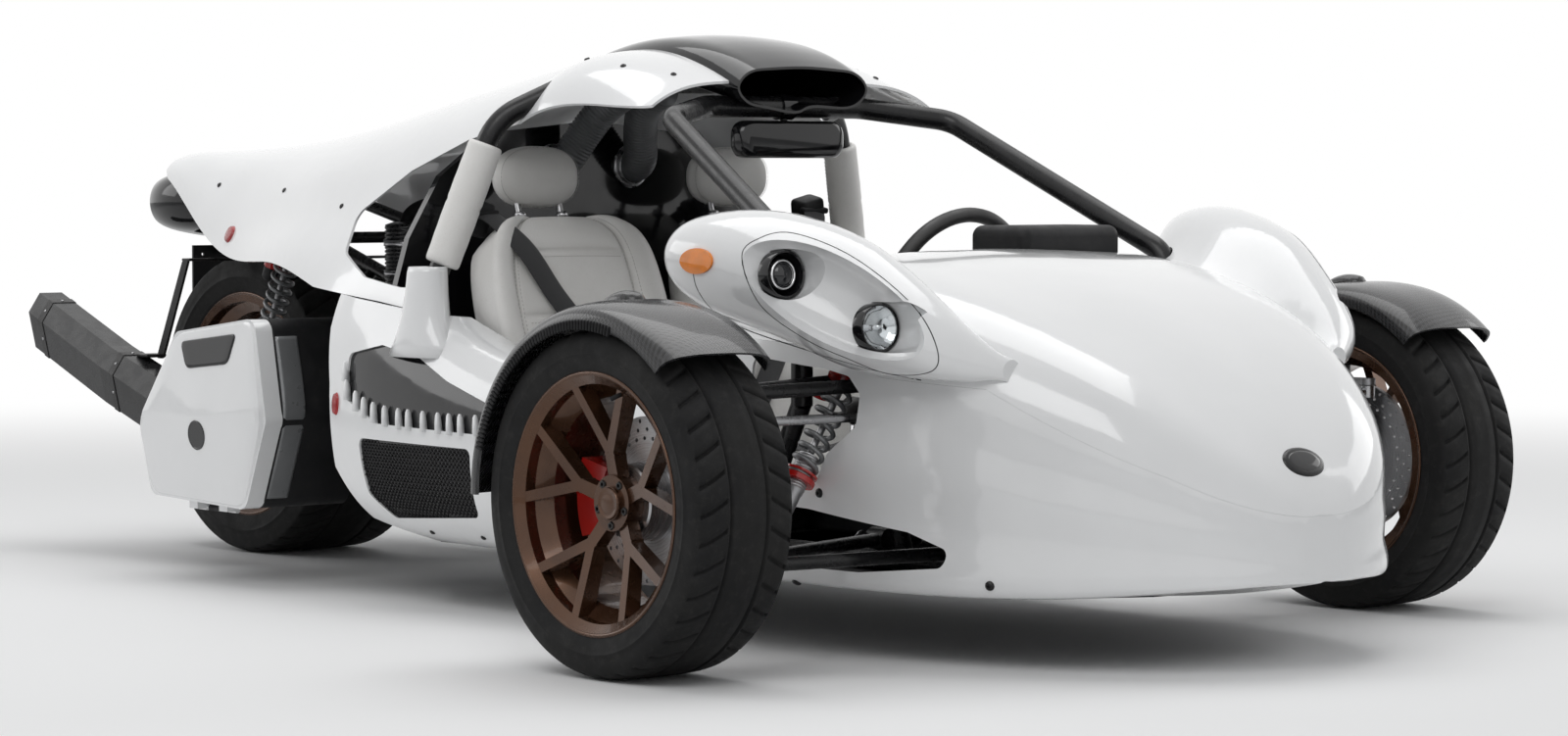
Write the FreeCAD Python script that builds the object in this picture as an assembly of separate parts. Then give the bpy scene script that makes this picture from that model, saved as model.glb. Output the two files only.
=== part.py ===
import FreeCAD
import Part
import math
import os

Vector = FreeCAD.Vector
Rotation = FreeCAD.Rotation
Placement = FreeCAD.Placement

# An open three wheeled car in millimetres: +X forward, +Y to its left, +Z up, the floor at Z 0.
# Pieces are laid out from the point on the floor under the front axle, then shifted so that the
# origin lies under the middle of the whole car.

SIZES = [
    # Stance
    ("nose_reach", 700), ("tail_reach", 2797), ("wheelbase", 2335), ("front_track", 1772),
    ("front_tyre_radius", 288), ("front_tyre_width", 206), ("front_bead_radius", 203),
    ("front_lip_radius", 217), ("front_rim_width", 192),
    ("rear_tyre_radius", 325), ("rear_tyre_width", 295), ("rear_bead_radius", 229),
    ("rear_lip_radius", 243), ("rear_rim_width", 270),
    ("spoke_thick", 24), ("spoke_width", 17), ("barrel_wall", 7), ("hub_radius", 46),
    # Body
    ("skin", 5), ("belly_height", 118), ("body_half_width", 500), ("hood_height", 690),
    ("nose_tip_height", 245), ("cowl_x", -133), ("nose_rear_x", -270),
    ("lamp_radius", 41), ("lamp_length", 14),
    ("fit_gap", 0.3), ("run_gap", 5),
    # Frame tubes
    ("rail_diameter", 38), ("brace_diameter", 32), ("rail_half_width", 210),
    ("sill_half_width", 400), ("upper_half_width", 300),
    ("upper_rail_z", 470), ("hoop_diameter", 41), ("hoop_bend", 120),
    ("pad_radius", 33),
    # Running gear
    ("kingpin_inset", 80), ("ball_low_height", 183), ("ball_high_height", 412),
    ("eye_radius", 18), ("eye_height", 28), ("stud_radius", 8), ("arm_tube", 24),
    ("steer_arm_reach", 70), ("rack_height", 414), ("tie_rod_radius", 8), ("rack_radius", 13),
    ("rack_barrel", 24),
    ("lower_pivot_z", 180), ("lower_pivot_x", 150), ("upper_pivot_x", 70), ("pivot_radius", 20),
    ("disc_radius", 140), ("disc_thick", 10), ("disc_inset", 22), ("bell_radius", 64),
    ("spindle_radius", 17), ("fender_gap", 26), ("fender_wall", 4), ("fender_width", 225),
    ("rear_axle_radius", 14), ("rear_hub_radius", 34), ("swing_half_width", 205), ("swing_section", 55),
    ("sprocket_radius", 105), ("drive_radius", 42), ("drive_x", -1612), ("drive_z", 345),
    ("chain_width", 14), ("chain_height", 16),
    # Cases
    ("plate_hole", 3.5), ("case_outer", 545), ("case_inner", 345), ("lid_depth", 40), ("case_wall", 4),
    ("hinge_height", 150), ("hinge_radius", 6),
    # Exhaust
    ("muffler_width", 112), ("muffler_height", 120), ("pipe_diameter", 55),
    # Cockpit
    ("seat_offset", 240), ("seat_width", 430), ("steering_radius", 165), ("grip_radius", 14),
    ("column_radius", 15), ("steering_x", -470), ("steering_z", 590), ("pinion_z", 430),
]

doc = FreeCAD.newDocument("three_wheeled_car")
sheet = doc.addObject("Spreadsheet::Sheet", "Sizes")
for row, (alias, number) in enumerate(SIZES, start=1):
    sheet.set("A%d" % row, alias)
    sheet.set("B%d" % row, str(number))
    sheet.setAlias("B%d" % row, alias)
doc.recompute()


def size(alias):
    return float(sheet.get(alias))


SKIN = size("skin")
FIT = size("fit_gap")
RUN = size("run_gap")
SHIFT = Vector((size("tail_reach") - size("nose_reach")) / 2, 0, 0)
UP = Vector(0, 0, 1)
LEFT = Vector(0, 1, 0)
FORWARD = Vector(1, 0, 0)
pieces = []


# Helpers that add pieces

def add_shape(label, shape):
    piece = doc.addObject("Part::Feature", label)
    piece.Shape = shape
    piece.Placement = Placement(SHIFT, Rotation()).multiply(shape.Placement)
    piece.Label = label
    pieces.append(piece)
    return piece


def mirror_of(shape):
    return shape.mirror(Vector(0, 0, 0), LEFT)


# A right piece and its mirror image, as two pieces or as two solids of one piece
def add_pair(label, shape):
    add_shape(label + "_right", shape)
    add_shape(label + "_left", mirror_of(shape))


def add_both(label, shape):
    add_shape(label, Part.makeCompound(shape.Solids + mirror_of(shape).Solids))


def add_body(label, at, turn=Rotation()):
    body = doc.addObject("PartDesign::Body", label)
    body.Label = label
    body.Placement = Placement(SHIFT + at, turn)
    pieces.append(body)
    return body


def add_sketch(body, name, role, edges):
    sketch = body.newObject("Sketcher::SketchObject", name)
    plane = [item for item in body.Origin.OriginFeatures if item.Role == role][0]
    sketch.AttachmentSupport = [(plane, "")]
    sketch.MapMode = "FlatFace"
    sketch.addGeometry(edges, False)
    return sketch


def outline_edges(points):
    ring = [Vector(x, y, 0) for x, y in points]
    return [Part.LineSegment(ring[i - 1], ring[i]) for i in range(len(ring))]


def revolve(body, sketch, axis):
    turned = body.newObject("PartDesign::Revolution", "Turned")
    turned.Profile = sketch
    turned.ReferenceAxis = (sketch, [axis])
    turned.Angle = 360
    return turned


# Helpers that make shapes

def face_of(points):
    return Part.Face(Part.makePolygon(list(points) + [points[0]]))


def rounded_prism(points, push, corner):
    solid = face_of(points).extrude(push)
    along = Vector(push).normalize()
    edges = [e for e in solid.Edges if abs(e.tangentAt(e.FirstParameter).dot(along)) > 0.999]
    return solid.makeFillet(corner, edges) if corner else solid


def side_prism(points, y_from, y_to, corner=0):
    ring = [Vector(x, y_from, z) for x, z in points]
    return rounded_prism(ring, Vector(0, y_to - y_from, 0), corner)


def block(centre, length, width, height, corner=0):
    solid = Part.makeBox(length, width, height,
                         centre - Vector(length / 2, width / 2, height / 2))
    return solid.makeFillet(corner, solid.Edges) if corner else solid


def rod(start, end, radius):
    return Part.makeCylinder(radius, (end - start).Length, start, end - start)


def bent_path(points, bend):
    edges = []
    start = points[0]
    for before, corner, after in zip(points, points[1:], points[2:]):
        come = (corner - before).normalize()
        leave = (after - corner).normalize()
        turn = come.getAngle(leave)
        reach = bend * math.tan(turn / 2)
        first = corner - come * reach
        last = corner + leave * reach
        middle = corner + (leave - come).normalize() * bend * (1 / math.cos(turn / 2) - 1)
        edges.append(Part.LineSegment(start, first).toShape())
        edges.append(Part.Arc(first, middle, last).toShape())
        start = last
    edges.append(Part.LineSegment(start, points[-1]).toShape())
    return Part.Wire(edges)


def tube(points, radius, bend):
    path = bent_path(points, bend)
    ring = Part.Wire(Part.Circle(points[0], points[1] - points[0], radius).toShape())
    return path.makePipeShell([ring], True, True)


def mirrored(points):
    return points + [Vector(p.x, -p.y, p.z) for p in reversed(points) if abs(p.y) > 0.01]


def spline(points, closed=False):
    curve = Part.BSplineCurve()
    curve.interpolate(Points=points, PeriodicFlag=closed)
    return curve.toShape()


def inset_points(points, wall):
    inner = []
    for i, point in enumerate(points):
        before = points[max(i - 1, 0)]
        after = points[min(i + 1, len(points) - 1)]
        along = (after - before).normalize()
        inner.append(point + FORWARD.cross(along).normalize() * wall)
    return inner


# A thin skin through stations along X. Each station lists the (y, z) points of its open outline,
# walked so that the wall lies on the inner side.
def skin_loft(stations, wall):
    wires = []
    for x, outline in stations:
        outer = [Vector(x, y, z) for y, z in outline]
        inner = inset_points(outer, wall)
        inner.reverse()
        rims = [Part.LineSegment(outer[-1], inner[0]).toShape(),
                Part.LineSegment(inner[-1], outer[0]).toShape()]
        wires.append(Part.Wire([spline(outer), rims[0], spline(inner), rims[1]]))
    return Part.makeLoft(wires, True, False)


# An arch from the right edge over the top to the left edge
def arch(half):
    return [(-y, z) for y, z in reversed(half)] + half[1:]


def superellipse(x, centre_y, centre_z, half_y, up, down, power_up, power_down, count=16):
    ring = []
    for i in range(count):
        angle = 2 * math.pi * i / count - math.pi / 2
        side = math.cos(angle)
        rise = math.sin(angle)
        power = power_up if rise > 0 else power_down
        high = up if rise > 0 else down
        y = math.copysign(abs(side) ** (2 / power), side) * half_y
        z = math.copysign(abs(rise) ** (2 / power), rise) * high
        ring.append(Vector(x, centre_y + y, centre_z + z))
    return Part.Wire(spline(ring, True))


# Places that several pieces share

RAIL = size("rail_diameter") / 2
BRACE = size("brace_diameter") / 2
HOOP = size("hoop_diameter") / 2
RAIL_Z = size("belly_height") + SKIN + FIT + RAIL
RAIL_Y = size("rail_half_width")
SILL_Y = size("sill_half_width")
UPPER_Y = size("upper_half_width")
UPPER_Z = size("upper_rail_z")
DASH_X = -150
DASH_Z = 560
BAR_Z = DASH_Z - FIT - BRACE + 1
HOOP_FOOT = Vector(-104, -445, 600)
FRONT_HOOP = mirrored([HOOP_FOOT, Vector(-104, -445, 675), Vector(-590, -345, 926),
                       Vector(-680, -190, 950)])
LEG_LOW = Vector(-1085, -528, 600)
LEG_HIGH = Vector(-1017, -427, 927)
MAIN_HOOP = mirrored([Vector(-1120, -425, RAIL_Z + RAIL + 1), LEG_LOW, LEG_HIGH,
                      Vector(-945, -290, 1000)])
HOOP_CLEAR = 3


# Nose shell with lamp pods

NOSE_X = [-290, -133, 40, 200, 350, 470, 570, 640, 678, 692, 698]
NOSE_TIP = size("nose_reach")
BADGE_X = 654
BADGE_DROP = 317


def hood_line(x):
    share = (x - size("cowl_x")) / (BADGE_X - size("cowl_x"))
    return size("hood_height") - BADGE_DROP * max(share, 0) ** 2


def nose_half(x):
    share = max(x, 0) / NOSE_TIP
    return size("body_half_width") * (1 - share ** 2.1) ** (1 / 2.1)


# Height of the belly edge and of the middle of the hood at one station
def nose_span(x):
    share = max(x, 0) / NOSE_TIP
    tip = size("nose_tip_height")
    top = tip + (hood_line(x) - tip) * math.sqrt(1 - share ** 16)
    return size("belly_height") + 34 * share ** 4, top


# Outline of the nose at one station, from the middle of the belly over the sharp chin edge and the
# upright side to the middle of the hood
def nose_ring(x, inset):
    share = max(x, 0) / NOSE_TIP
    low, top = nose_span(x)
    low += inset
    half = nose_half(x) - inset
    tall = top - inset - low
    ease = min(tall / 300, 1)
    waist = 0.035 * min(2.2 * share, 1)
    side = [(0.0, low), (0.55, low), (0.86, low + 4 * ease), (0.985, low + 14 * ease),
            (1.0, low + 38 * ease), (1 - waist, low + 0.2 * tall + 15 * ease),
            (1.01 - waist, low + 0.38 * tall), (1 - waist, low + 0.55 * tall),
            (0.97 - 0.02 * share, low + 0.75 * tall), (0.88 - 0.04 * share, low + 0.91 * tall),
            (0.55 - 0.06 * share, low + 0.985 * tall), (0.0, low + tall)]
    ring = [Vector(x - inset * share, half * part, z) for part, z in side]
    ring += [Vector(p.x, -p.y, p.z) for p in reversed(ring[1:-1])]
    return Part.Wire(spline(ring, True))


def nose_form(inset):
    return Part.makeLoft([nose_ring(x, inset) for x in NOSE_X], True, False)


# Each lamp pod is a teardrop beside the hood. Its stations list x, the middle y and z, half the
# width and half the height, and its ring runs out over the hood in a hollow curve.
POD = [(-252, -598, 683, 14, 15), (-243, -598, 683, 34, 35), (-222, -596, 682, 57, 57),
       (-170, -582, 675, 82, 82), (-80, -560, 664, 100, 100), (30, -535, 640, 110, 108),
       (130, -512, 604, 108, 106), (210, -492, 573, 92, 84), (280, -470, 543, 66, 58),
       (325, -444, 522, 42, 38), (370, -395, 500, 20, 19)]
POD_RING = [(0, 1), (0.42, 0.9), (0.76, 0.64), (0.96, 0.3), (1, -0.05), (0.88, -0.45), (0.6, -0.8),
            (0.15, -1), (-0.6, -1.05), (-1.6, -1), (-2.2, -0.65), (-1.95, -0.25), (-1.35, 0.02),
            (-0.95, 0.38), (-0.5, 0.84)]


def pod_form(inset):
    wires = []
    for x, y, z, wide, high in POD:
        if inset and x == POD[0][0]:
            continue
        end = x - inset if x == POD[-1][0] else x
        ring = [Vector(end, y - out * (wide - inset), z + rise * (high - inset))
                for out, rise in POD_RING]
        wires.append(Part.Wire(spline(ring, True)))
    return Part.makeLoft(wires, True, False)


# The two lamps of a pod stand in round wells at the floor of one long scooped recess
LAMPS = [Vector(26, -600, 656), Vector(187, -531, 570)]
LAMP_AIM = Vector(1, -0.05, 0.05).normalize()
RECESS = Vector(146, -599, 618)
RECESS_AXES = [Vector(0.826, 0.354, -0.441) * 190, Vector(0.265, 0.448, 0.854) * 74,
               Vector(0.76, -0.64, 0.1) * 62]


def lamp_shape(centre, radius, ahead, behind):
    start = centre - LAMP_AIM * behind
    return Part.makeCylinder(radius, ahead + behind, start, LAMP_AIM)


def recess_form(grow):
    reach = [axis * (1 + grow / axis.Length) for axis in RECESS_AXES]
    matrix = FreeCAD.Matrix(reach[0].x, reach[1].x, reach[2].x, RECESS.x,
                            reach[0].y, reach[1].y, reach[2].y, RECESS.y,
                            reach[0].z, reach[1].z, reach[2].z, RECESS.z, 0, 0, 0, 1)
    scoop = Part.makeSphere(1).transformGeometry(matrix)
    wells = [lamp_shape(centre, size("lamp_radius") + 2 + grow, 90, size("lamp_length") + grow)
             for centre in LAMPS]
    return scoop.fuse(wells[0]).fuse(wells[1])


AXLE_CUT = [(-180, 510), (17, 494), (70, 484), (98, 455), (92, 400), (30, 352), (0, 300),
            (-180, 300)]
ARM_SLOT = [(-190, 262), (-20, 255), (200, 228), (285, 200), (275, 172), (100, 155), (-190, 155)]


# The hood and the lower nose part along this line, seen from the side
PARTING = [(-320, 545), (40, 530), (140, 484), (340, 470), (600, 330), (740, 232)]


def nose_shell():
    pod = pod_form(0)
    recess = recess_form(0)
    outer = nose_form(0).fuse(pod).fuse(mirror_of(pod)).cut([recess, mirror_of(recess)])
    backing = recess_form(SKIN)
    hollow = nose_form(SKIN).fuse(pod_form(SKIN)).fuse(mirror_of(pod_form(SKIN)))
    shell = outer.cut(hollow.cut([backing, mirror_of(backing)]))
    rear = size("nose_rear_x")
    belly = size("belly_height")
    cuts = [Part.makeBox(2000, 2000, 200, Vector(-1000, -1000, belly + SKIN + FIT - 200)),
            Part.makeBox(300, 2000, 900, Vector(rear - 300, -1000, 0)),
            Part.makeBox(200, 760, 400, Vector(size("cowl_x") - 200, -380, 500)),
            Part.makeBox(1340, 620, 200, Vector(-1000, -310, 0)),
            side_prism(AXLE_CUT, -700, 700, 16), side_prism(ARM_SLOT, -700, 700, 16),
            tube(FRONT_HOOP, HOOP + HOOP_CLEAR, size("hoop_bend") / 2)]
    for cut in cuts:
        shell = shell.cut(cut)
    return shell


def largest(shape):
    return max(shape.Solids, key=lambda solid: solid.Volume)


def parted(shape, above):
    drop = 0 if above else FIT
    edge = [(x, z - drop) for x, z in PARTING]
    corners = [(740, 900), (-320, 900)]
    over = side_prism(edge + corners, -800, 800)
    return largest(shape.common(over) if above else shape.cut(over))


whole_nose = nose_shell()
add_shape("nose_hood", parted(whole_nose, True))
add_shape("nose_lower", parted(whole_nose, False))


def lamps():
    floor = size("lamp_length") - FIT
    return Part.makeCompound([lamp_shape(centre, size("lamp_radius"), 14 - floor, floor)
                              for centre in LAMPS])


add_both("headlamps", lamps())


# Amber side marker: an oval lens that hugs the outer side of the pod
def marker_shape():
    turns = [2 * math.pi * i / 16 for i in range(16)]
    oval = [Vector(-122 + 40 * math.cos(turn), -700, 677 + 22 * math.sin(turn)) for turn in turns]
    patch = Part.Face(Part.Wire(spline(oval, True))).extrude(LEFT * 80)
    outside = pod_form(0)
    outside.translate(-LEFT * (FIT + 4))
    inside = pod_form(0)
    inside.translate(-LEFT * FIT)
    return largest(patch.common(outside).cut(inside))


add_both("side_markers", marker_shape())

# Floor pan under the nose and the cockpit
FLOOR = [(470, 0), (455, 150), (400, 250), (300, 340), (150, 400), (-50, 430), (-290, 440),
         (-1180, 440), (-1340, 330)]


def floor_pan():
    half = [Vector(x, y, size("belly_height")) for x, y in FLOOR]
    ring = half + [Vector(p.x, -p.y, p.z) for p in reversed(half) if p.y > 1]
    return face_of(ring).extrude(Vector(0, 0, SKIN))


add_shape("floor_pan", floor_pan())

# Side panels, each a bulging skin with two openings and a rail between them
SIDE = [(-270, [(480, 124), (500, 190), (505, 300), (500, 400), (478, 440), (440, 440)]),
        (-620, [(490, 124), (560, 190), (580, 300), (560, 400), (510, 448), (440, 452)]),
        (-900, [(500, 126), (575, 190), (598, 300), (585, 420), (540, 490), (450, 500)]),
        (-1150, [(500, 130), (575, 190), (598, 300), (590, 430), (562, 530), (515, 615)]),
        (-1390, [(480, 150), (540, 200), (568, 300), (568, 430), (548, 530), (505, 630)])]
SEAM = [(-940, 545), (-1250, 580), (-1600, 610)]
UPPER_OPENING = [(-1290, 480), (-1290, 395), (-1170, 352), (-800, 345), (-800, 395), (-960, 440),
                 (-1060, 480), (-1180, 500)]
LOWER_OPENING = [(-1235, 322), (-868, 318), (-868, 190), (-1150, 172), (-1215, 215)]
ARCH_CUT = [(-1500, 700), (-1400, 560), (-1358, 420), (-1340, 260), (-1250, 165), (-1110, 134),
            (-1110, 60), (-1500, 60)]


def side_panel():
    stations = [(x, [(-y, z) for y, z in outline]) for x, outline in SIDE]
    panel = skin_loft(stations, -SKIN)
    above = side_prism(SEAM + [(-1600, 800), (-940, 800)], -800, -300)
    cuts = [side_prism(UPPER_OPENING, -800, -300, 15), side_prism(LOWER_OPENING, -800, -300, 15),
            side_prism(ARCH_CUT, -800, -300), above,
            tube(MAIN_HOOP, HOOP + HOOP_CLEAR, size("hoop_bend"))]
    for cut in cuts:
        panel = panel.cut(cut)
    return panel


add_pair("side_panel", side_panel())


# Grilles: thin sheets that follow the inner face of the side panel behind its openings
def grille_shape():
    stations = []
    for x, outline in SIDE:
        points = [Vector(x, -y, z) for y, z in outline]
        stations.append((x, [(p.y, p.z) for p in inset_points(points, -SKIN - 2 * FIT)]))
    sheet = skin_loft(stations, -3)
    upper = side_prism([(-1315, 500), (-1315, 350), (-780, 338), (-780, 415), (-950, 450),
                        (-1060, 500), (-1180, 520)], -800, -300)
    lower = side_prism([(-1255, 335), (-848, 330), (-848, 178), (-1150, 158), (-1235, 205)],
                       -800, -300)
    made = []
    for area in (upper, lower):
        made.append(largest(sheet.common(area).cut(side_prism(ARCH_CUT, -800, -300))))
    return Part.makeCompound(made)


add_both("side_grilles", grille_shape())

# Rear fairing: arches from the roof back to the tail, with side windows
FAIRING = [
    (-1000, [(0, 1060), (200, 1046), (310, 1000), (385, 920), (440, 800), (490, 680), (548, 530)]),
    (-1250, [(0, 1020), (200, 1004), (305, 958), (385, 870), (440, 770), (495, 665), (548, 540)]),
    (-1500, [(0, 978), (190, 962), (290, 916), (370, 835), (425, 745), (480, 665), (512, 600)]),
    (-1800, [(0, 926), (170, 914), (265, 870), (335, 800), (380, 730), (415, 680), (430, 646)]),
    (-2114, [(0, 890), (155, 880), (230, 845), (275, 790), (305, 735), (325, 690), (335, 658)]),
    (-2350, [(0, 878), (140, 872), (200, 850), (235, 815), (252, 790), (262, 765), (266, 745)]),
    (-2540, [(0, 874), (120, 870), (165, 860), (188, 848), (198, 838), (204, 828), (206, 818)])]
WINDOW = [(-960, 925), (-1160, 890), (-1330, 830), (-1475, 745), (-1440, 670), (-1330, 625),
          (-1200, 608), (-960, 608)]


# Roof scoop and the white roof panel round it
SCOOP = [(-622, 984, 160, 42), (-700, 1010, 166, 52), (-850, 1040, 165, 50), (-1060, 1036, 135, 36),
         (-1230, 1010, 110, 24)]


def scoop_form(grow):
    rings = [superellipse(x, 0, z, half + grow, high + grow, high + grow, 2.6, 2.6, 12)
             for x, z, half, high in SCOOP]
    return Part.makeLoft(rings, True, False)


def roof_scoop():
    shell = scoop_form(0).cut(scoop_form(-SKIN))
    shell = shell.cut(tube(FRONT_HOOP, HOOP + FIT, size("hoop_bend") / 2))
    return largest(shell.cut(tube(MAIN_HOOP, HOOP + FIT, size("hoop_bend"))))


add_shape("roof_scoop", roof_scoop())


def rear_fairing():
    skin = skin_loft([(x, arch(half)) for x, half in FAIRING], -SKIN)
    tail_cut = side_prism([(-2150, 560), (-2560, 845), (-2700, 845), (-2700, 560)], -600, 600)
    below = side_prism([(x, z + FIT) for x, z in SEAM] + [(-1600, 400), (-940, 400)], -700, 700)
    leg = tube(MAIN_HOOP, HOOP + HOOP_CLEAR, size("hoop_bend"))
    for cut in (side_prism(WINDOW, -700, 700, 25), tail_cut, below, scoop_form(FIT), leg):
        skin = skin.cut(cut)
    return max(skin.Solids, key=lambda solid: solid.Volume)


add_shape("rear_fairing", rear_fairing())

ROOF = [(-645, [(0, 1000), (160, 997), (270, 984), (345, 950)]),
        (-720, [(0, 1034), (160, 1028), (280, 1006), (355, 950)]),
        (-850, [(0, 1064), (180, 1056), (300, 1030), (372, 955)]),
        (-999, [(0, 1060), (200, 1047), (312, 1002), (385, 921)])]


def roof_panel():
    skin = skin_loft([(x, arch(half)) for x, half in ROOF], -SKIN)
    cut = skin.cut(scoop_form(FIT)).cut(tube(FRONT_HOOP, HOOP + FIT, size("hoop_bend") / 2))
    cut = cut.cut(tube(MAIN_HOOP, HOOP + FIT, size("hoop_bend")))
    sides = sorted(cut.Solids, key=lambda solid: solid.Volume)[-2:]
    return Part.makeCompound(sides)


add_shape("roof_panel", roof_panel())

# Frame of round tube. Each tube is its own solid, trimmed round the ones before it.
POST_Z = 515


def tubes_of(runs, others=()):
    made = []
    laid = list(others)
    for start, end, radius in runs:
        solid = rod(start, end, radius)
        along = (end - start).normalize() * FIT
        for low, high, thick in laid:
            if solid.BoundBox.intersect(rod(low, high, thick + FIT).BoundBox):
                solid = solid.cut(rod(low, high, thick + FIT))
        made += [part for part in solid.Solids if part.Volume > 8000]
        laid.append((start - along, end + along, radius))
    return made


def both_sides(runs):
    made = []
    for start, end, radius in runs:
        for way in (-1, 1):
            made.append((Vector(start.x, way * start.y, start.z), Vector(end.x, way * end.y, end.z),
                         radius))
    return made


def cross_bars(spots, radius):
    return [(Vector(x, -half, z), Vector(x, half, z), radius) for x, half, z in spots]


FLOOR_RUNS = both_sides([
    (Vector(300, RAIL_Y, RAIL_Z), Vector(-1640, RAIL_Y, RAIL_Z), RAIL),
    (Vector(-310, SILL_Y, RAIL_Z), Vector(-1180, SILL_Y, RAIL_Z), RAIL),
    (Vector(-1180, SILL_Y, RAIL_Z), Vector(-1500, RAIL_Y, RAIL_Z), RAIL - 1)])
FLOOR_RUNS += cross_bars([(280, RAIL_Y, RAIL_Z), (60, RAIL_Y, RAIL_Z), (-310, SILL_Y, RAIL_Z),
                          (-700, SILL_Y, RAIL_Z), (-1150, SILL_Y, RAIL_Z),
                          (-1440, RAIL_Y, RAIL_Z), (-1620, RAIL_Y, RAIL_Z)], BRACE - 1)
add_shape("lower_frame", Part.makeCompound(tubes_of(FLOOR_RUNS)))

FRONT_RUNS = both_sides([
    (Vector(120, UPPER_Y, UPPER_Z), Vector(-150, UPPER_Y, UPPER_Z), RAIL),
    (Vector(112.5, RAIL_Y, RAIL_Z), Vector(112.5, UPPER_Y, UPPER_Z), BRACE - 1.5),
    (Vector(-95, RAIL_Y, RAIL_Z), Vector(-95, UPPER_Y, UPPER_Z), BRACE),
    (Vector(-104, -HOOP_FOOT.y, 425), Vector(-104, -HOOP_FOOT.y, HOOP_FOOT.z - FIT), RAIL),
    (Vector(-310, SILL_Y, RAIL_Z), Vector(-104, -HOOP_FOOT.y, 430), RAIL - 1),
    (Vector(-122, UPPER_Y, UPPER_Z), Vector(-104, -HOOP_FOOT.y, BAR_Z), BRACE),
    (Vector(0, UPPER_Y, UPPER_Z), Vector(0, 388, POST_Z), BRACE - 2)])
FRONT_RUNS += cross_bars([(115, UPPER_Y, UPPER_Z), (HOOP_FOOT.x, -HOOP_FOOT.y, BAR_Z)], BRACE - 1)
add_shape("front_frame", Part.makeCompound(tubes_of(FRONT_RUNS, FLOOR_RUNS)))

# Rear subframe that carries the tail, the twin shocks and the plates of the side cases
SUB_LOW = Vector(-1600, 200, 586)
SUB_HIGH = Vector(-2440, 110, 806)
SHOCK_BAR_SHARE = 0.47
CASE_INNER = size("case_inner")
SWING_Y = size("swing_half_width") + 16


def subframe_shape():
    plate_y = CASE_INNER - FIT - 3
    runs = both_sides([(SUB_LOW, SUB_HIGH, BRACE - 3),
                       (Vector(-1590, RAIL_Y, RAIL_Z), Vector(-1590, RAIL_Y, 570), BRACE)])
    bars = []
    for share in (0.0, SHOCK_BAR_SHARE, 1.0):
        spot = SUB_LOW + (SUB_HIGH - SUB_LOW) * share
        half = SWING_Y - 3 if share == SHOCK_BAR_SHARE else spot.y
        bars.append((spot.x, half, spot.z))
    runs += cross_bars(bars, BRACE - 4)
    runs += cross_bars([(-1590, RAIL_Y, 540)], BRACE - 1)
    runs += both_sides([(Vector(-1640, 196, 586), Vector(-1740, plate_y - 7, 440), 11),
                        (Vector(-1780, 181, 623), Vector(-1790, plate_y - 7, 440), 11)])
    made = tubes_of(runs, FLOOR_RUNS)
    clear = [rod(start, end + (end - start).normalize() * FIT, thick + FIT)
             for start, end, thick in runs[-4:]]
    for way in (-1, 1):
        plate = block(Vector(-1760, way * plate_y, 400), 200, 6, 110)
        made.append(plate.cut(clear))
    return Part.makeCompound(made)


add_shape("rear_subframe", subframe_shape())

add_shape("front_hoop", tube(FRONT_HOOP, HOOP, size("hoop_bend") / 2))
add_shape("main_hoop", tube(MAIN_HOOP, HOOP, size("hoop_bend")))


# Wheels


def tyre_edges(radius, bead, lip, width):
    tall = radius - bead
    half = width / 2
    low = [(bead, -0.40), (lip + 1.5, -0.41), (lip + 12, -0.475), (bead + 0.6 * tall, -0.5),
           (bead + 0.86 * tall, -0.465), (radius - 0.03 * tall, -0.40), (radius, -0.33)]
    points = [(r, share * 2 * half) for r, share in low]
    points += [(r, -y) for r, y in reversed(points)]
    return outline_edges(points)


def add_tyre(label, at, end):
    body = add_body(label, at)
    edges = tyre_edges(size(end + "_tyre_radius"), size(end + "_bead_radius") + FIT,
                       size(end + "_lip_radius"), size(end + "_tyre_width"))
    revolve(body, add_sketch(body, "TyreSection", "XY_Plane", edges), "V_Axis")


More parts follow.
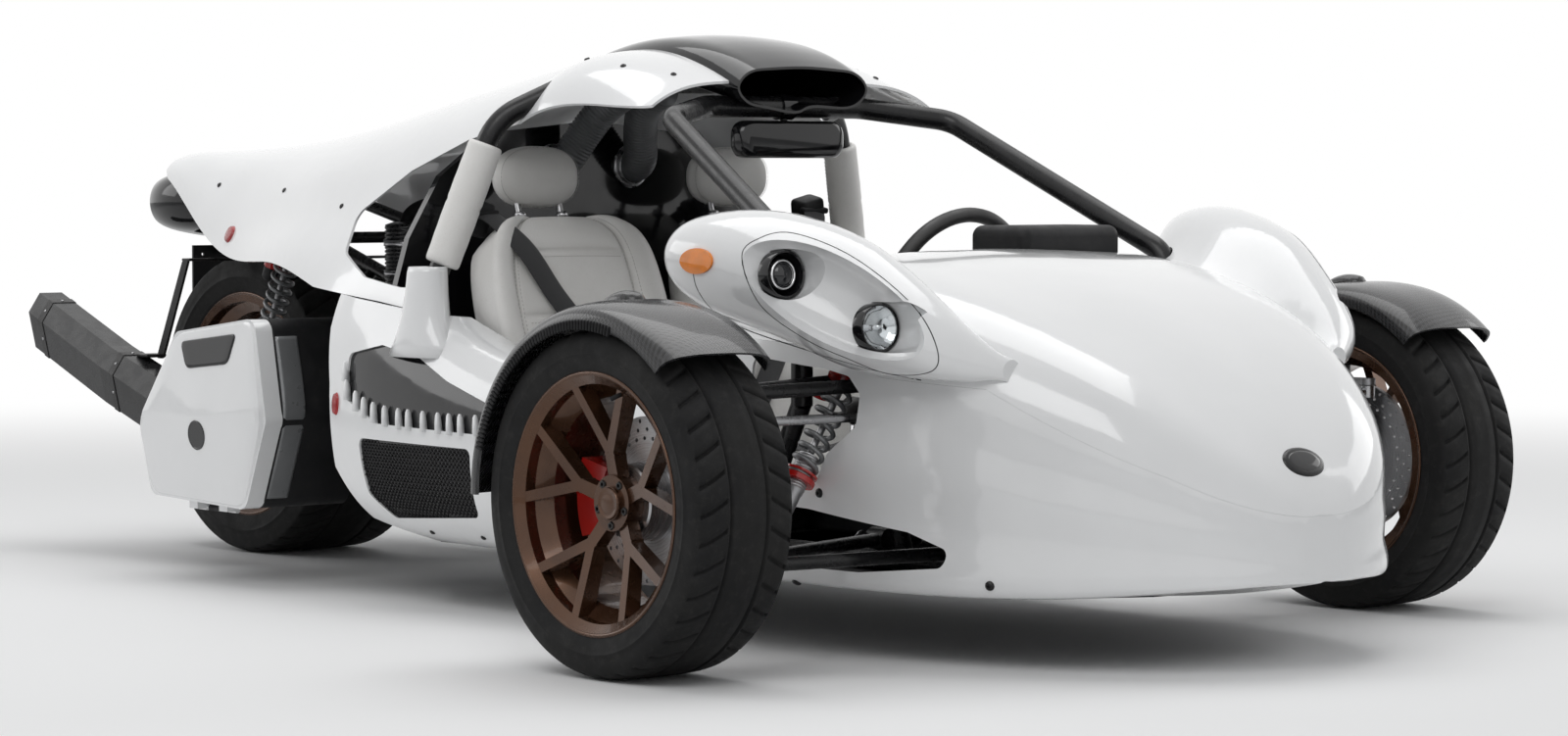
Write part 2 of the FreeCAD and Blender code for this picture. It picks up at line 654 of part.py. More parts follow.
# The rim is a barrel, five forked spokes on a shallow dish, and a hub with a plain cap.
# Its outer face looks along +Y.
def rim_shape(end, face_y, bore_radius, through):
    bead = size(end + "_bead_radius")
    lip = size(end + "_lip_radius")
    half = size(end + "_rim_width") / 2
    wall = size("barrel_wall")
    drop = bead - 22
    outer = [(lip, half), (lip, half - 5), (bead, half - 9), (bead, half - 40), (drop, half - 55),
             (drop, 40 - half), (bead, 25 - half), (bead, 9 - half), (lip, 5 - half), (lip, -half)]
    inner = [(bead - wall, -half), (bead - wall, 25 - half), (drop - wall, 40 - half),
             (drop - wall, half - 55), (bead - wall, half - 32), (bead - wall, half - 12),
             (lip - wall, half)]
    ring = [Vector(r, y, 0) for r, y in outer + inner]
    barrel = face_of(ring).revolve(Vector(0, 0, 0), LEFT, 360)
    hub = size("hub_radius")
    thick = size("spoke_thick")
    reach = bead - wall + 1
    dish = face_of([Vector(0, face_y - thick, 0), Vector(hub, face_y - thick, 0),
                    Vector(reach, half - 20 - thick, 0), Vector(reach, half - 12, 0),
                    Vector(hub, face_y, 0), Vector(0, face_y, 0)])
    dish = dish.revolve(Vector(0, 0, 0), LEFT, 360)
    wide = size("spoke_width")
    split = 0.42 * reach
    spread = math.radians(19)
    spokes = []
    for i in range(5):
        for way in (-1, 1):
            knee = Vector(0, 0, split)
            tip = Vector(way * math.sin(spread) * (reach + 20), 0, math.cos(spread) * (reach + 20))
            along = (tip - knee).normalize()
            across = Vector(along.z, 0, -along.x)
            leg = [knee - across * wide * 0.55 - along * 10, knee + across * wide * 0.55 - along * 10,
                   tip + across * wide * 0.5, tip - across * wide * 0.5]
            spokes.append(turned_prism(leg, half, 72 * i))
        stem = [Vector(-wide * 0.8, 0, 0), Vector(wide * 0.8, 0, 0), Vector(wide * 0.65, 0, split + 12),
                Vector(-wide * 0.65, 0, split + 12)]
        spokes.append(turned_prism(stem, half, 72 * i))
    star = dish.common(spokes[0].fuse(spokes[1:]))
    centre = Part.makeCylinder(hub, thick + 8, Vector(0, face_y - thick - 4, 0), LEFT)
    cap = Part.makeCylinder(hub * 0.62, 8, Vector(0, face_y + 2, 0), LEFT)
    bore = Part.makeCylinder(bore_radius + FIT, thick + 40 if through else thick - 2,
                             Vector(0, face_y - thick - 5, 0), LEFT)
    lugs = []
    for i in range(5):
        turn = math.radians(72 * i + 36)
        at = Vector(math.sin(turn) * hub * 0.8, face_y - 6, math.cos(turn) * hub * 0.8)
        lugs.append(Part.makeCylinder(6, 20, at, LEFT))
    return barrel.fuse([star, centre, cap]).removeSplitter().cut([bore] + lugs)


def turned_prism(ring, half, angle):
    solid = face_of([p - LEFT * half for p in ring]).extrude(LEFT * half * 2.5)
    solid.rotate(Vector(0, 0, 0), LEFT, angle)
    return solid


FRONT_R = size("front_tyre_radius")
HALF_TRACK = size("front_track") / 2
REAR_R = size("rear_tyre_radius")
REAR_X = -size("wheelbase")
FACE_Y = 52
rim = rim_shape("front", FACE_Y, size("spindle_radius"), False)
for side, name in ((-1, "right"), (1, "left")):
    centre = Vector(0, side * HALF_TRACK, FRONT_R)
    add_tyre("tyre_front_" + name, centre, "front")
    turned = rim.copy()
    if side < 0:
        turned.rotate(Vector(0, 0, 0), UP, 180)
    turned.translate(centre)
    add_shape("rim_front_" + name, turned)
rear_centre = Vector(REAR_X, 0, REAR_R)
add_tyre("tyre_rear", rear_centre, "rear")
rear_rim = rim_shape("rear", 60, size("rear_hub_radius"), True)
rear_rim.translate(rear_centre)
add_shape("rim_rear", rear_rim)


# Brake disc with its bell, centred on the wheel
def disc_shape():
    inset = -size("disc_inset")
    thick = size("disc_thick")
    face = FACE_Y - size("spoke_thick") - 4
    profile = [(size("disc_radius"), inset), (size("disc_radius"), inset - thick),
               (size("spindle_radius") + FIT, inset - thick), (size("spindle_radius") + FIT, face),
               (size("bell_radius"), face), (size("bell_radius"), inset)]
    return face_of([Vector(r, y, 0) for r, y in profile]).revolve(Vector(0, 0, 0), LEFT, 360)


# Knuckle: an upright with an eye at each end for its ball stud, a spindle and a steering arm
KING_Y = HALF_TRACK - size("kingpin_inset")


def knuckle_shape():
    eye = size("eye_radius")
    tall = size("eye_height")
    low = size("ball_low_height")
    high = size("ball_high_height")
    at = Vector(0, -KING_Y, 0)
    web = block(Vector(0, -KING_Y, (low + high + tall) / 2), 34, 26, high - low - tall + 20)
    parts = [Part.makeCylinder(eye, tall, at + UP * low), Part.makeCylinder(eye, tall, at + UP * high),
             block(Vector(0, -KING_Y - 12, FRONT_R), 84, 30, 90)]
    spindle = rod(Vector(0, -KING_Y, FRONT_R), Vector(0, -HALF_TRACK - 24, FRONT_R),
                  size("spindle_radius"))
    reach = size("steer_arm_reach")
    top = size("rack_height") + 14
    arm = block(Vector(reach / 2, -KING_Y, top + 6), reach + 4, 26, 12)
    boss = Part.makeCylinder(15, 12, Vector(reach, -KING_Y, top))
    post = block(Vector(26, -KING_Y, (top + 12 + FRONT_R) / 2), 16, 26, top + 12 - FRONT_R)
    whole = web.fuse(parts + [spindle, boss, post, arm])
    stud = size("stud_radius") + FIT
    clear = Part.makeCylinder(eye + 12, 60, at + UP * (high + tall))
    return whole.cut([Part.makeCylinder(stud, 200, at + UP * (low - 5)).common(
        Part.makeCylinder(stud, tall + 6, at + UP * (low - 5))),
        Part.makeCylinder(stud, tall + 6, at + UP * (high - 1)), clear])


add_pair("knuckle", knuckle_shape())
disc = disc_shape()
for side, name in ((-1, "right"), (1, "left")):
    turned = disc.copy()
    if side < 0:
        turned.rotate(Vector(0, 0, 0), UP, 180)
    turned.translate(Vector(0, side * HALF_TRACK, FRONT_R))
    add_shape("disc_front_" + name, turned)


# Caliper: a block over the rim of the disc with a slot for it, on the rear side
def caliper_shape():
    outer = size("disc_radius") + 18
    inner = 92
    middle = -HALF_TRACK + size("disc_inset") + size("disc_thick") / 2
    wide = size("disc_thick") + 2 * (RUN + 22)
    start = Vector(0, middle - wide / 2, FRONT_R)
    ring = Part.makeCylinder(outer, wide, start, LEFT).cut(Part.makeCylinder(inner, wide, start, LEFT))
    slot_wide = size("disc_thick") + 2 * RUN
    slot = Part.makeCylinder(size("disc_radius") + RUN, slot_wide,
                             Vector(0, middle - slot_wide / 2, FRONT_R), LEFT)
    wedge = side_prism([(-60, FRONT_R - 48), (-200, FRONT_R - 78), (-200, FRONT_R + 78),
                        (-60, FRONT_R + 48)], middle - wide, middle + wide)
    body = ring.cut(slot).common(wedge)
    lug = Part.makeBox(60, 14, 44, Vector(-42 - FIT - 60, -KING_Y - 22, FRONT_R - 22))
    return body.fuse(lug)


add_pair("caliper", caliper_shape())


# Fender: a crowned cross section carried round the tyre, with turned-in edges
def fender_shape():
    inner = FRONT_R + size("fender_gap")
    wall = size("fender_wall")
    half = size("fender_width") / 2
    outline = [(inner - 26, -half), (inner - 4, -half + 6), (inner + 10, -half + 40), (inner + 14, 0),
               (inner + 10, half - 40), (inner - 4, half - 6), (inner - 26, half)]
    outer = [Vector(r + wall, y * (half + wall) / half, 0) for r, y in outline]
    inner_ring = [Vector(r, y, 0) for r, y in reversed(outline)]
    section = Part.Face(Part.Wire([spline(outer), Part.LineSegment(outer[-1], inner_ring[0]).toShape(),
                                   spline(inner_ring),
                                   Part.LineSegment(inner_ring[-1], outer[0]).toShape()]))
    section.rotate(Vector(0, 0, 0), LEFT, -49)
    shell = section.revolve(Vector(0, 0, 0), LEFT, -131)
    shell.translate(Vector(0, -HALF_TRACK, FRONT_R))
    return shell


add_pair("fender", fender_shape())


# Bracket from the knuckle up the inner side of the tyre to the fender
def fender_bracket():
    inner_face = -HALF_TRACK + size("fender_width") / 2 + size("fender_wall") + FIT
    plate = side_prism([(-95, FRONT_R - 20), (-30, FRONT_R - 20), (-55, FRONT_R + 120),
                        (-62, FRONT_R + 296), (-102, FRONT_R + 286), (-95, FRONT_R + 120)],
                       inner_face, inner_face + 6)
    foot = Part.makeBox(30, 40, 30, Vector(-60, -KING_Y + 3 + FIT, FRONT_R - 15))
    return plate.fuse(foot)


add_pair("fender_bracket", fender_bracket())


# Suspension arms with ball studs at their outer ends and bushes beside the frame rails
BUSH = size("pivot_radius")
SHOCK_Y = -612


def arm_shape(height, pivot_y, pivot_z, spread, stud_up):
    end = Vector(0, -KING_Y, height)
    parts = []
    radius = size("arm_tube") / 2
    for x in (-spread, spread):
        pivot = Vector(x, pivot_y, pivot_z)
        parts.append(rod(pivot, end, radius))
        parts.append(Part.makeCylinder(BUSH, 44, pivot - Vector(22, 0, 0), FORWARD))
    parts.append(Part.makeCylinder(20, 24, end - UP * 12))
    share = (SHOCK_Y + KING_Y) / (pivot_y + KING_Y)
    seat = Vector(0, SHOCK_Y, height + (pivot_z - height) * share)
    if stud_up:
        parts.append(rod(seat - FORWARD * spread * share, seat + FORWARD * spread * share, 10))
    parts.append(Part.makeCylinder(size("stud_radius"), 38, end if stud_up else end - UP * 38))
    whole = parts[0]
    for part in parts[1:]:
        whole = whole.fuse(part)
    return whole


LOW = size("ball_low_height")
HIGH = size("ball_high_height") + size("eye_height")
LOWER_PIVOT_Z = size("lower_pivot_z")
REACH = BUSH + RAIL + FIT
LOWER_PIVOT_Y = -RAIL_Y - math.sqrt(REACH ** 2 - (LOWER_PIVOT_Z - RAIL_Z) ** 2)
UPPER_PIVOT_Y = -UPPER_Y - REACH
add_both("lower_arms", arm_shape(LOW - 14, LOWER_PIVOT_Y, LOWER_PIVOT_Z, size("lower_pivot_x"),
                                 True))
add_both("upper_arms", arm_shape(HIGH + 14, UPPER_PIVOT_Y, UPPER_Z, size("upper_pivot_x"), False))


# Coil-over unit with an eye at each end: front ones stand on the lower arms and hang from the
# shock posts of the frame, rear ones sit beside the swingarm and the subframe
def coil_over(low, high, spring_radius, eye_axis):
    along = (high - low).normalize()
    length = (high - low).Length
    body = rod(low, high, 11)
    spring = rod(low + along * length * 0.34, low + along * length * 0.86, spring_radius)
    cup = rod(low + along * length * 0.28, low + along * length * 0.34, spring_radius + 4)
    eyes = [Part.makeCylinder(15, 26, end - eye_axis * 13, eye_axis) for end in (low, high)]
    return body.fuse([spring, cup] + eyes)


SHARE = (SHOCK_Y + KING_Y) / (LOWER_PIVOT_Y + KING_Y)
SEAT_Z = LOW - 14 + (LOWER_PIVOT_Z - LOW + 14) * SHARE
FRONT_TOP = Vector(0, -388 - 15 - 9, POST_Z)
FRONT_LOW = Vector(0, SHOCK_Y, SEAT_Z + 10 + 15 + FIT)
add_both("coil_overs_front", coil_over(FRONT_LOW, FRONT_TOP, 27, FORWARD))
REAR_LOW = Vector(-2170, -SWING_Y - FIT - 13, 332)

SHOCK_BAR = SUB_LOW + (SUB_HIGH - SUB_LOW) * SHOCK_BAR_SHARE
REAR_HIGH = Vector(SHOCK_BAR.x, -SWING_Y + 3 - FIT - 13, SHOCK_BAR.z)
add_both("coil_overs_rear", coil_over(REAR_LOW, REAR_HIGH, 27, LEFT))

# Steering rack, with its tie rods, in a housing with bellows
RACK_X = size("steer_arm_reach")
RACK_Z = size("rack_height")
COLUMN_END = Vector(RACK_X - 34, 240, size("pinion_z"))
HUB = Vector(size("steering_x"), 240, size("steering_z"))
COLUMN = (HUB - COLUMN_END).normalize()


def rack_shape():
    middle = rod(Vector(RACK_X, -380, RACK_Z), Vector(RACK_X, 380, RACK_Z), size("rack_radius"))
    rods = rod(Vector(RACK_X, -KING_Y, RACK_Z), Vector(RACK_X, KING_Y, RACK_Z), size("tie_rod_radius"))
    eyes = [Part.makeCylinder(14, 22, Vector(RACK_X, way * KING_Y, RACK_Z - 10)) for way in (-1, 1)]
    return middle.fuse([rods] + eyes)


def rack_housing():
    bore = rod(Vector(RACK_X, -520, RACK_Z), Vector(RACK_X, 520, RACK_Z), size("rack_radius") + 1)
    barrel = rod(Vector(RACK_X, -300, RACK_Z), Vector(RACK_X, 300, RACK_Z), size("rack_barrel"))
    parts = []
    for way in (-1, 1):
        for i in range(6):
            ridge = Vector(RACK_X, way * (300 + 26 * i), RACK_Z)
            parts.append(Part.makeCone(27, 21, 26, ridge, Vector(0, way, 0)))
    pinion = rod(COLUMN_END - COLUMN * (FIT + 60), COLUMN_END - COLUMN * FIT, 26)
    saddles = []
    for way in (-1, 1):
        low = RACK_Z + size("rack_barrel") - 6
        saddles.append(Part.makeBox(30, 30, UPPER_Z - RAIL - FIT - low,
                                    Vector(RACK_X - 15, way * UPPER_Y - 15, low)))
    return barrel.fuse(parts + [pinion] + saddles).cut(bore)


add_shape("steering_rack", rack_shape())
add_shape("rack_housing", rack_housing())


# Steering wheel on its column
def steering_wheel():
    grip = Part.makeTorus(size("steering_radius"), size("grip_radius"), HUB, COLUMN)
    hub = Part.makeCylinder(38, 34, HUB - COLUMN * 17, COLUMN)
    across = Vector(0, 1, 0)
    lean = COLUMN.cross(across).normalize()
    reach = size("steering_radius")
    bars = [rod(HUB, HUB + across * reach, 10), rod(HUB, HUB - across * reach, 10),
            rod(HUB, HUB - lean * reach * (1 if lean.z > 0 else -1), 10)]
    column = rod(COLUMN_END, HUB, size("column_radius"))
    return grip.fuse([hub, column] + bars)


add_shape("steering_wheel", steering_wheel())


# Dash across the body with a hood over the instruments and a collar for the column
def dash_shape():
    roof = block(Vector(DASH_X, 0, DASH_Z + 50), 130, 700, 100, 12)
    hood = block(Vector(-215, 240, 690), 150, 250, 80, 20)
    collar = Part.makeCylinder(30, 60, HUB - COLUMN * 290, COLUMN)
    drop = block(Vector(-210, 240, 556), 36, 60, 70)
    bore = Part.makeCylinder(size("column_radius") + 2, 900, HUB - COLUMN * 700, COLUMN)
    return roof.fuse([hood, drop, collar]).cut(bore)


add_shape("dash", dash_shape())


# Seats: a base and a leaning back with side bolsters
SEAT_LOW = RAIL_Z + RAIL + FIT


def seat_shape():
    wide = size("seat_width")
    y = -size("seat_offset")
    side = [(-520, 262), (-540, SEAT_LOW), (-985, SEAT_LOW), (-1130, 700), (-1085, 745),
            (-1040, 735), (-880, 262)]
    core = side_prism(side, y - wide / 2 + 50, y + wide / 2 - 50, 20)
    rim_side = [(-540, 310), (-560, SEAT_LOW), (-985, SEAT_LOW), (-1118, 650), (-1030, 645),
                (-862, 335)]
    bolsters = [side_prism(rim_side, y + way * wide / 2 - way * 50, y + way * wide / 2, 20)
                for way in (-1, 1)]
    return core.fuse(bolsters)


add_both("seats", seat_shape())


# Headrest on two posts that stand on the seat back
def headrest_shape():
    y = -size("seat_offset")
    pad = block(Vector(-1142, y, 818), 72, 190, 116, 30)
    posts = [rod(Vector(-1110, y + way * 50, 690), Vector(-1140, y + way * 50, 790), 7)
             for way in (-1, 1)]
    return pad.fuse([post.cut(seat_shape()) for post in posts])


add_both("headrests", headrest_shape())


# Centre tunnel and gear lever
def tunnel_shape():
    low = RAIL_Z + BRACE - 1 + FIT
    return block(Vector(-620, 0, low + 55), 900, 40, 110, 8)


add_shape("centre_tunnel", tunnel_shape())
LEVER_LOW = RAIL_Z + BRACE - 1 + FIT + 110 + FIT
lever = rod(Vector(-480, 0, LEVER_LOW), Vector(-480, 0, 380), 6)
add_shape("gear_lever", lever.fuse(Part.makeSphere(20, Vector(-480, 0, 392))))


# Bulkhead behind the seats
def bulkhead_shape():
    half = [Vector(-1290, 0, 930), Vector(-1290, 250, 905), Vector(-1290, 370, 820),
            Vector(-1290, 445, 700), Vector(-1290, 480, 590), Vector(-1290, 400, SEAT_LOW),
            Vector(-1290, 0, SEAT_LOW)]
    ring = half + [Vector(p.x, -p.y, p.z) for p in reversed(half) if p.y > 1]
    return face_of(ring).extrude(Vector(16, 0, 0))


add_shape("bulkhead", bulkhead_shape())

# Engine, one plain block
ENGINE_LOW = RAIL_Z + BRACE - 1 + FIT
ENGINE_X = -1540


def engine_shape():
    mass = block(Vector(ENGINE_X + 120, 0, ENGINE_LOW + 200), 240, 340, 400, 15)
    at = Vector(size("drive_x"), 0, size("drive_z"))
    shaft = rod(at + LEFT * 150, at + LEFT * 178, 16)
    carrier = block(Vector(-1570, 140, size("drive_z")), 130, 40, 90)
    sprocket = rod(at + LEFT * 170, at + LEFT * 177, size("drive_radius"))
    return mass.fuse(carrier).fuse(shaft).fuse(sprocket)


add_shape("engine_block", engine_shape())


# Mirror hung from the front hoop
def mirror_shape():
    shell = block(Vector(-664, 0, 889), 34, 260, 70, 14)
    bar = FRONT_HOOP[3]
    return shell.fuse(rod(Vector(bar.x, 0, 889), Vector(bar.x, 0, bar.z - HOOP - FIT), 7))


add_shape("mirror", mirror_shape())


# Intake ducts from the scoop down to the bulkhead
BULKHEAD_FRONT = -1274


def duct_shape():
    path = [Vector(-1085, -42, 992), Vector(-1174, -42, 966), Vector(-1239, -98, 840),
            Vector(BULKHEAD_FRONT + FIT, -98, 840)]
    return largest(tube(path, 34, 45).cut(scoop_form(FIT)))


add_both("intake_ducts", duct_shape())

# Sleeve pads on the main hoop, centred on its straight legs
PAD_LOW = LEG_LOW + (LEG_HIGH - LEG_LOW) * 0.16
PAD_HIGH = LEG_LOW + (LEG_HIGH - LEG_LOW) * 0.86


def hoop_pad():
    along = PAD_HIGH - PAD_LOW
    return rod(PAD_LOW, PAD_HIGH, size("pad_radius")).cut(
        Part.makeCylinder(HOOP + FIT, along.Length * 1.4, PAD_LOW - along * 0.2, along))


add_both("hoop_pads", hoop_pad())


# Swingarm, rear axle and drive
def swingarm_shape():
    half = size("swing_half_width")
    deep = size("swing_section")
    parts = []
    for way in (-1, 1):
        y = way * half
        arm = side_prism([(-1690, 300), (-1690, 360), (REAR_X - 45, REAR_R + deep / 2),
                          (REAR_X - 45, REAR_R - deep / 2)], y - 16, y + 16)
        parts.append(arm)
    cross = rod(Vector(-1700, -half, 342), Vector(-1700, half, 342), 30)
    brace = block(Vector(-1900, 0, 330), 60, 2 * half, 50)
    axle = rod(Vector(REAR_X, -half - 30, REAR_R), Vector(REAR_X, half + 30, REAR_R),
               size("rear_axle_radius"))
    whole = cross
    for part in parts + [brace, axle]:
        whole = whole.fuse(part)
    return whole


add_shape("swingarm", swingarm_shape())


def rear_hub():
    bore = rod(Vector(REAR_X, -200, REAR_R), Vector(REAR_X, 200, REAR_R), size("rear_axle_radius") + FIT)
    hub = rod(Vector(REAR_X, -184, REAR_R), Vector(REAR_X, 184, REAR_R), size("rear_hub_radius"))
    disc = rod(Vector(REAR_X, -178, REAR_R), Vector(REAR_X, -172, REAR_R), 130)
    sprocket = rod(Vector(REAR_X, 170, REAR_R), Vector(REAR_X, 177, REAR_R), size("sprocket_radius"))
    return hub.fuse([disc, sprocket]).cut(bore)


add_shape("rear_hub", rear_hub())


# Chain loop: two arcs and two straight runs
def chain_shape():
    back = Vector(REAR_X, 0, REAR_R)
    front = Vector(size("drive_x"), 0, size("drive_z"))
    inner = []
    for grow in (FIT, FIT + size("chain_height")):
        big = size("sprocket_radius") + grow
        small = size("drive_radius") + grow
        gap = front - back
        lean = math.asin((big - small) / gap.Length)
        axis = math.atan2(gap.z, gap.x)
        top = axis + math.pi / 2 - lean
        low = axis - math.pi / 2 + lean

        def on(centre, radius, angle):
            return centre + Vector(math.cos(angle), 0, math.sin(angle)) * radius
        far = Part.Arc(on(back, big, top), on(back, big, axis + math.pi), on(back, big, low))
        near = Part.Arc(on(front, small, low), on(front, small, axis), on(front, small, top))
        wire = Part.Wire([far.toShape(),
                          Part.LineSegment(on(back, big, low), on(front, small, low)).toShape(),
                          near.toShape(),
                          Part.LineSegment(on(front, small, top), on(back, big, top)).toShape()])
        inner.append(Part.Face(wire).extrude(Vector(0, size("chain_width"), 0)))
    band = inner[1].cut(inner[0])
    band.translate(Vector(0, 173.5 - size("chain_width") / 2, 0))
    return band


add_shape("chain", chain_shape())

# Side cases with hinged lids
CASE = [(-1894, 505), (-1605, 540), (-1565, 337), (-1640, 158), (-1990, 170), (-2036, 316)]


def case_form(y_from, y_to, inset):
    middle_x = sum(x for x, z in CASE) / len(CASE)
    middle_z = sum(z for x, z in CASE) / len(CASE)
    ring = []
    for x, z in CASE:
        away = Vector(x - middle_x, 0, z - middle_z)
        ring.append((x - away.x / away.Length * inset * 1.3, z - away.z / away.Length * inset * 1.3))
    return side_prism(ring, y_from, y_to, 30)


# Hinge under the case: the middle barrel belongs to the case, the outer ones and the pin to the lid
HINGE = Vector(-1800, -size("case_outer") - FIT / 2, size("hinge_height"))
HINGE_R = size("hinge_radius")


def hinge_barrel(x_from, x_to, radius):
    return rod(Vector(x_from, HINGE.y, HINGE.z), Vector(x_to, HINGE.y, HINGE.z), radius)


def case_body():
    wall = size("case_wall")
    outer = case_form(-size("case_outer"), -size("case_inner"), 0)
    box = outer.cut(case_form(-size("case_outer") - 1, -size("case_inner") - wall, wall))
    leaf = Part.makeBox(60, 30, 30, Vector(-1830, -size("case_outer"), HINGE.z - 2)).cut(outer)
    barrel = hinge_barrel(-1830, -1770, HINGE_R).fuse(largest(leaf))
    return box.fuse(barrel.cut(hinge_barrel(-1900, -1700, HINGE_R / 2 + FIT)))


def case_lid():
    wall = size("case_wall")
    start = -size("case_outer") - FIT
    outer = case_form(start, start - size("lid_depth"), 0)
    lid = outer.cut(case_form(start + 1, start - size("lid_depth") + wall, wall))
    for x in (-1870, -1765 + RUN):
        leaf = Part.makeBox(30, 25, 30, Vector(x, start - 25, HINGE.z - 2)).cut(outer)
        lid = lid.fuse(largest(leaf)).fuse(hinge_barrel(x, x + 30, HINGE_R))
    return lid.fuse(hinge_barrel(-1860, -1745, HINGE_R / 2))


add_both("case_bodies", case_body())
add_pair("case_lid", case_lid())


# Mufflers: six-sided, rising to the rear, open at the tip
def muffler_shape():
    def ring(x, y, z, grow):
        wide = size("muffler_width") / 2 + grow
        high = size("muffler_height") / 2 + grow
        return Part.makePolygon([Vector(x, y + a * wide, z + b * high) for a, b in
                                 ((-1, 0.3), (-0.5, 1), (0.5, 1), (1, 0.3), (0.7, -1), (-0.7, -1),
                                  (-1, 0.3))])
    back = -size("tail_reach")
    stations = [(-2080, -334, 250), (-2500, -345, 390), (back, -345, 500)]
    outer = Part.makeLoft([ring(x, y, z, 0) for x, y, z in stations], True, True)
    bore = Part.makeCylinder(34, 120, Vector(back - 10, -345, 497), Vector(1, 0, -0.35))
    engine_side = -170 - FIT
    pipe = tube([Vector(-2110, -330, 255), Vector(-1930, -300, 222), Vector(-1440, -295, 222),
                 Vector(-1440, engine_side, 222)], size("pipe_diameter") / 2, 70)
    return outer.fuse(pipe).cut(bore)


add_both("mufflers", muffler_shape())


# Tail lamp housing and plate bracket
# It stands against the rear bar of the subframe and carries the plate bracket
def tail_form(grow):
    front = SUB_HIGH.x - BRACE + 4 - FIT + grow
    rings = [superellipse(x, 0, 762, half + grow, high + grow, high + grow, 3, 3, 12)
             for x, half, high in ((front, 150, 60), (-2540, 190, 76), (-2650 - grow, 178, 66))]
    return Part.makeLoft(rings, True, False)


def plate_bracket():
    plate = block(Vector(-2606, 0, 600), 6, 190, 130)
    stem = block(Vector(-2598, 0, 680), 20, 60, 60)
    holes = [Part.makeCylinder(size("plate_hole"), 40, Vector(-2620, y, 600 + z), FORWARD)
             for y in (-70, 70) for z in (-45, 45)]
    bracket = plate.fuse(stem).cut([tail_form(FIT)] + holes)
    return max(bracket.Solids, key=lambda solid: solid.Volume)


add_shape("tail_housing", tail_form(0))


# Round tail lamps on the rear face of the housing
def tail_lamp():
    return Part.makeCylinder(42, 12, Vector(-2650 - FIT, -92, 762), -FORWARD)


add_both("tail_lamps", tail_lamp())
add_shape("plate_bracket", plate_bracket())

doc.recompute()
for item in doc.Objects:
    if "Invalid" in item.State or "Error" in item.State:
        raise RuntimeError("%s did not build: %s" % (item.Label, item.State))
os.makedirs("parts", exist_ok=True)
for piece in pieces:
    shape = piece.Shape
    if shape.isNull() or not shape.isValid():
        raise RuntimeError("%s has no valid shape" % piece.Label)
    box = shape.BoundBox
    print("%-22s %d solids %8.0f cm3  X %.0f %.0f  Y %.0f %.0f  Z %.0f %.0f" % (
        piece.Label, len(shape.Solids), shape.Volume / 1000, box.XMin, box.XMax, box.YMin, box.YMax,
        box.ZMin, box.ZMax))
    shape.exportStep("parts/%s.step" % piece.Label)
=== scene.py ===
from math import asin, atan2, copysign, cos, exp, pi, radians, sin, sqrt

import bmesh
import bpy
from mathutils import Euler, Matrix, Vector
from mathutils.bvhtree import BVHTree


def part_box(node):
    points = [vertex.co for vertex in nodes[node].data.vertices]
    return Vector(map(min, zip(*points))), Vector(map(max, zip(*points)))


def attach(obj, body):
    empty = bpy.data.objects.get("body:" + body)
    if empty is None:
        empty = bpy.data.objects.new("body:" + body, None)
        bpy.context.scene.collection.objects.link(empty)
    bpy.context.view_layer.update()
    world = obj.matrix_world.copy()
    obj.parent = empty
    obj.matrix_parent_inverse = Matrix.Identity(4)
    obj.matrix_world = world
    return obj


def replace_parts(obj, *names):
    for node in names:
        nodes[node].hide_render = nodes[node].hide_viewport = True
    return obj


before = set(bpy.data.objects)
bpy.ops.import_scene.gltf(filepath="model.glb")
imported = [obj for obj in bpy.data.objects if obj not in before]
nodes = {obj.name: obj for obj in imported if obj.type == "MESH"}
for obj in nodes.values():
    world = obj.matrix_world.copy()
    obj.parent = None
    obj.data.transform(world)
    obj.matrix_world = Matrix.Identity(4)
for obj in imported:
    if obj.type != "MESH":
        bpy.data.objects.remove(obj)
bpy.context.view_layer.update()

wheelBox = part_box("tyre_front_right")
axleX = (wheelBox[0].x + wheelBox[1].x) / 2
up = Vector((0, 0, 1))
across = Vector((0, 1, 0))
ahead = Vector((1, 0, 0))


# millimetres from the floor point under the front axle, as metres in the frame
def at(x, y, z):
    return Vector((axleX + x / 1000, y / 1000, z / 1000))


def flipped(point):
    return Vector((point.x, -point.y, point.z))


# a direction in the plane of a wheel, from ahead towards up
def wheelWay(turn):
    return Vector((cos(turn), 0, sin(turn)))


def show(obj):
    bpy.context.scene.collection.objects.link(obj)
    return obj


# --- nodes of shader and geometry trees

# inputs are values, or sockets to link from
def feed(tree, target, inputs):
    for key, value in inputs.items():
        if hasattr(value, "is_linked"):
            tree.links.new(value, target.inputs[key])
        else:
            target.inputs[key].default_value = value


def addNode(tree, kind, inputs=None, **settings):
    made = tree.nodes.new(kind)
    for key, value in settings.items():
        setattr(made, key, value)
    feed(tree, made, inputs or {})
    return made


def mathOf(tree, operation, first, second=None):
    inputs = {0: first} if second is None else {0: first, 1: second}
    return addNode(tree, "ShaderNodeMath", inputs, operation=operation).outputs[0]


def vectorOf(tree, operation, inputs):
    return addNode(tree, "ShaderNodeVectorMath", inputs, operation=operation).outputs


# --- camera, floor and light

studio = {"lens": 97.02, "eye": (5432, -5162, 827), "pitch": -2.65, "yaw": 49.81,
          "floorColour": 0.90, "floorHalf": 30, "worldLight": 0.34, "fade": (2.6, 7.5),
          "lamps": (("key", (3.5, -4.5, 5.0), (0.3, 0, 0.5), (4.5, 3.0), 105),
                    ("top", (-0.5, 0.5, 5.5), (0, 0, 0.4), (6.0, 4.0), 150),
                    ("rearFill", (-5.0, -3.5, 3.0), (-0.8, 0, 0.4), (3.0, 2.5), 40),
                    ("farFill", (2.0, 6.0, 3.0), (0.3, 0, 0.4), (4.0, 2.5), 45))}


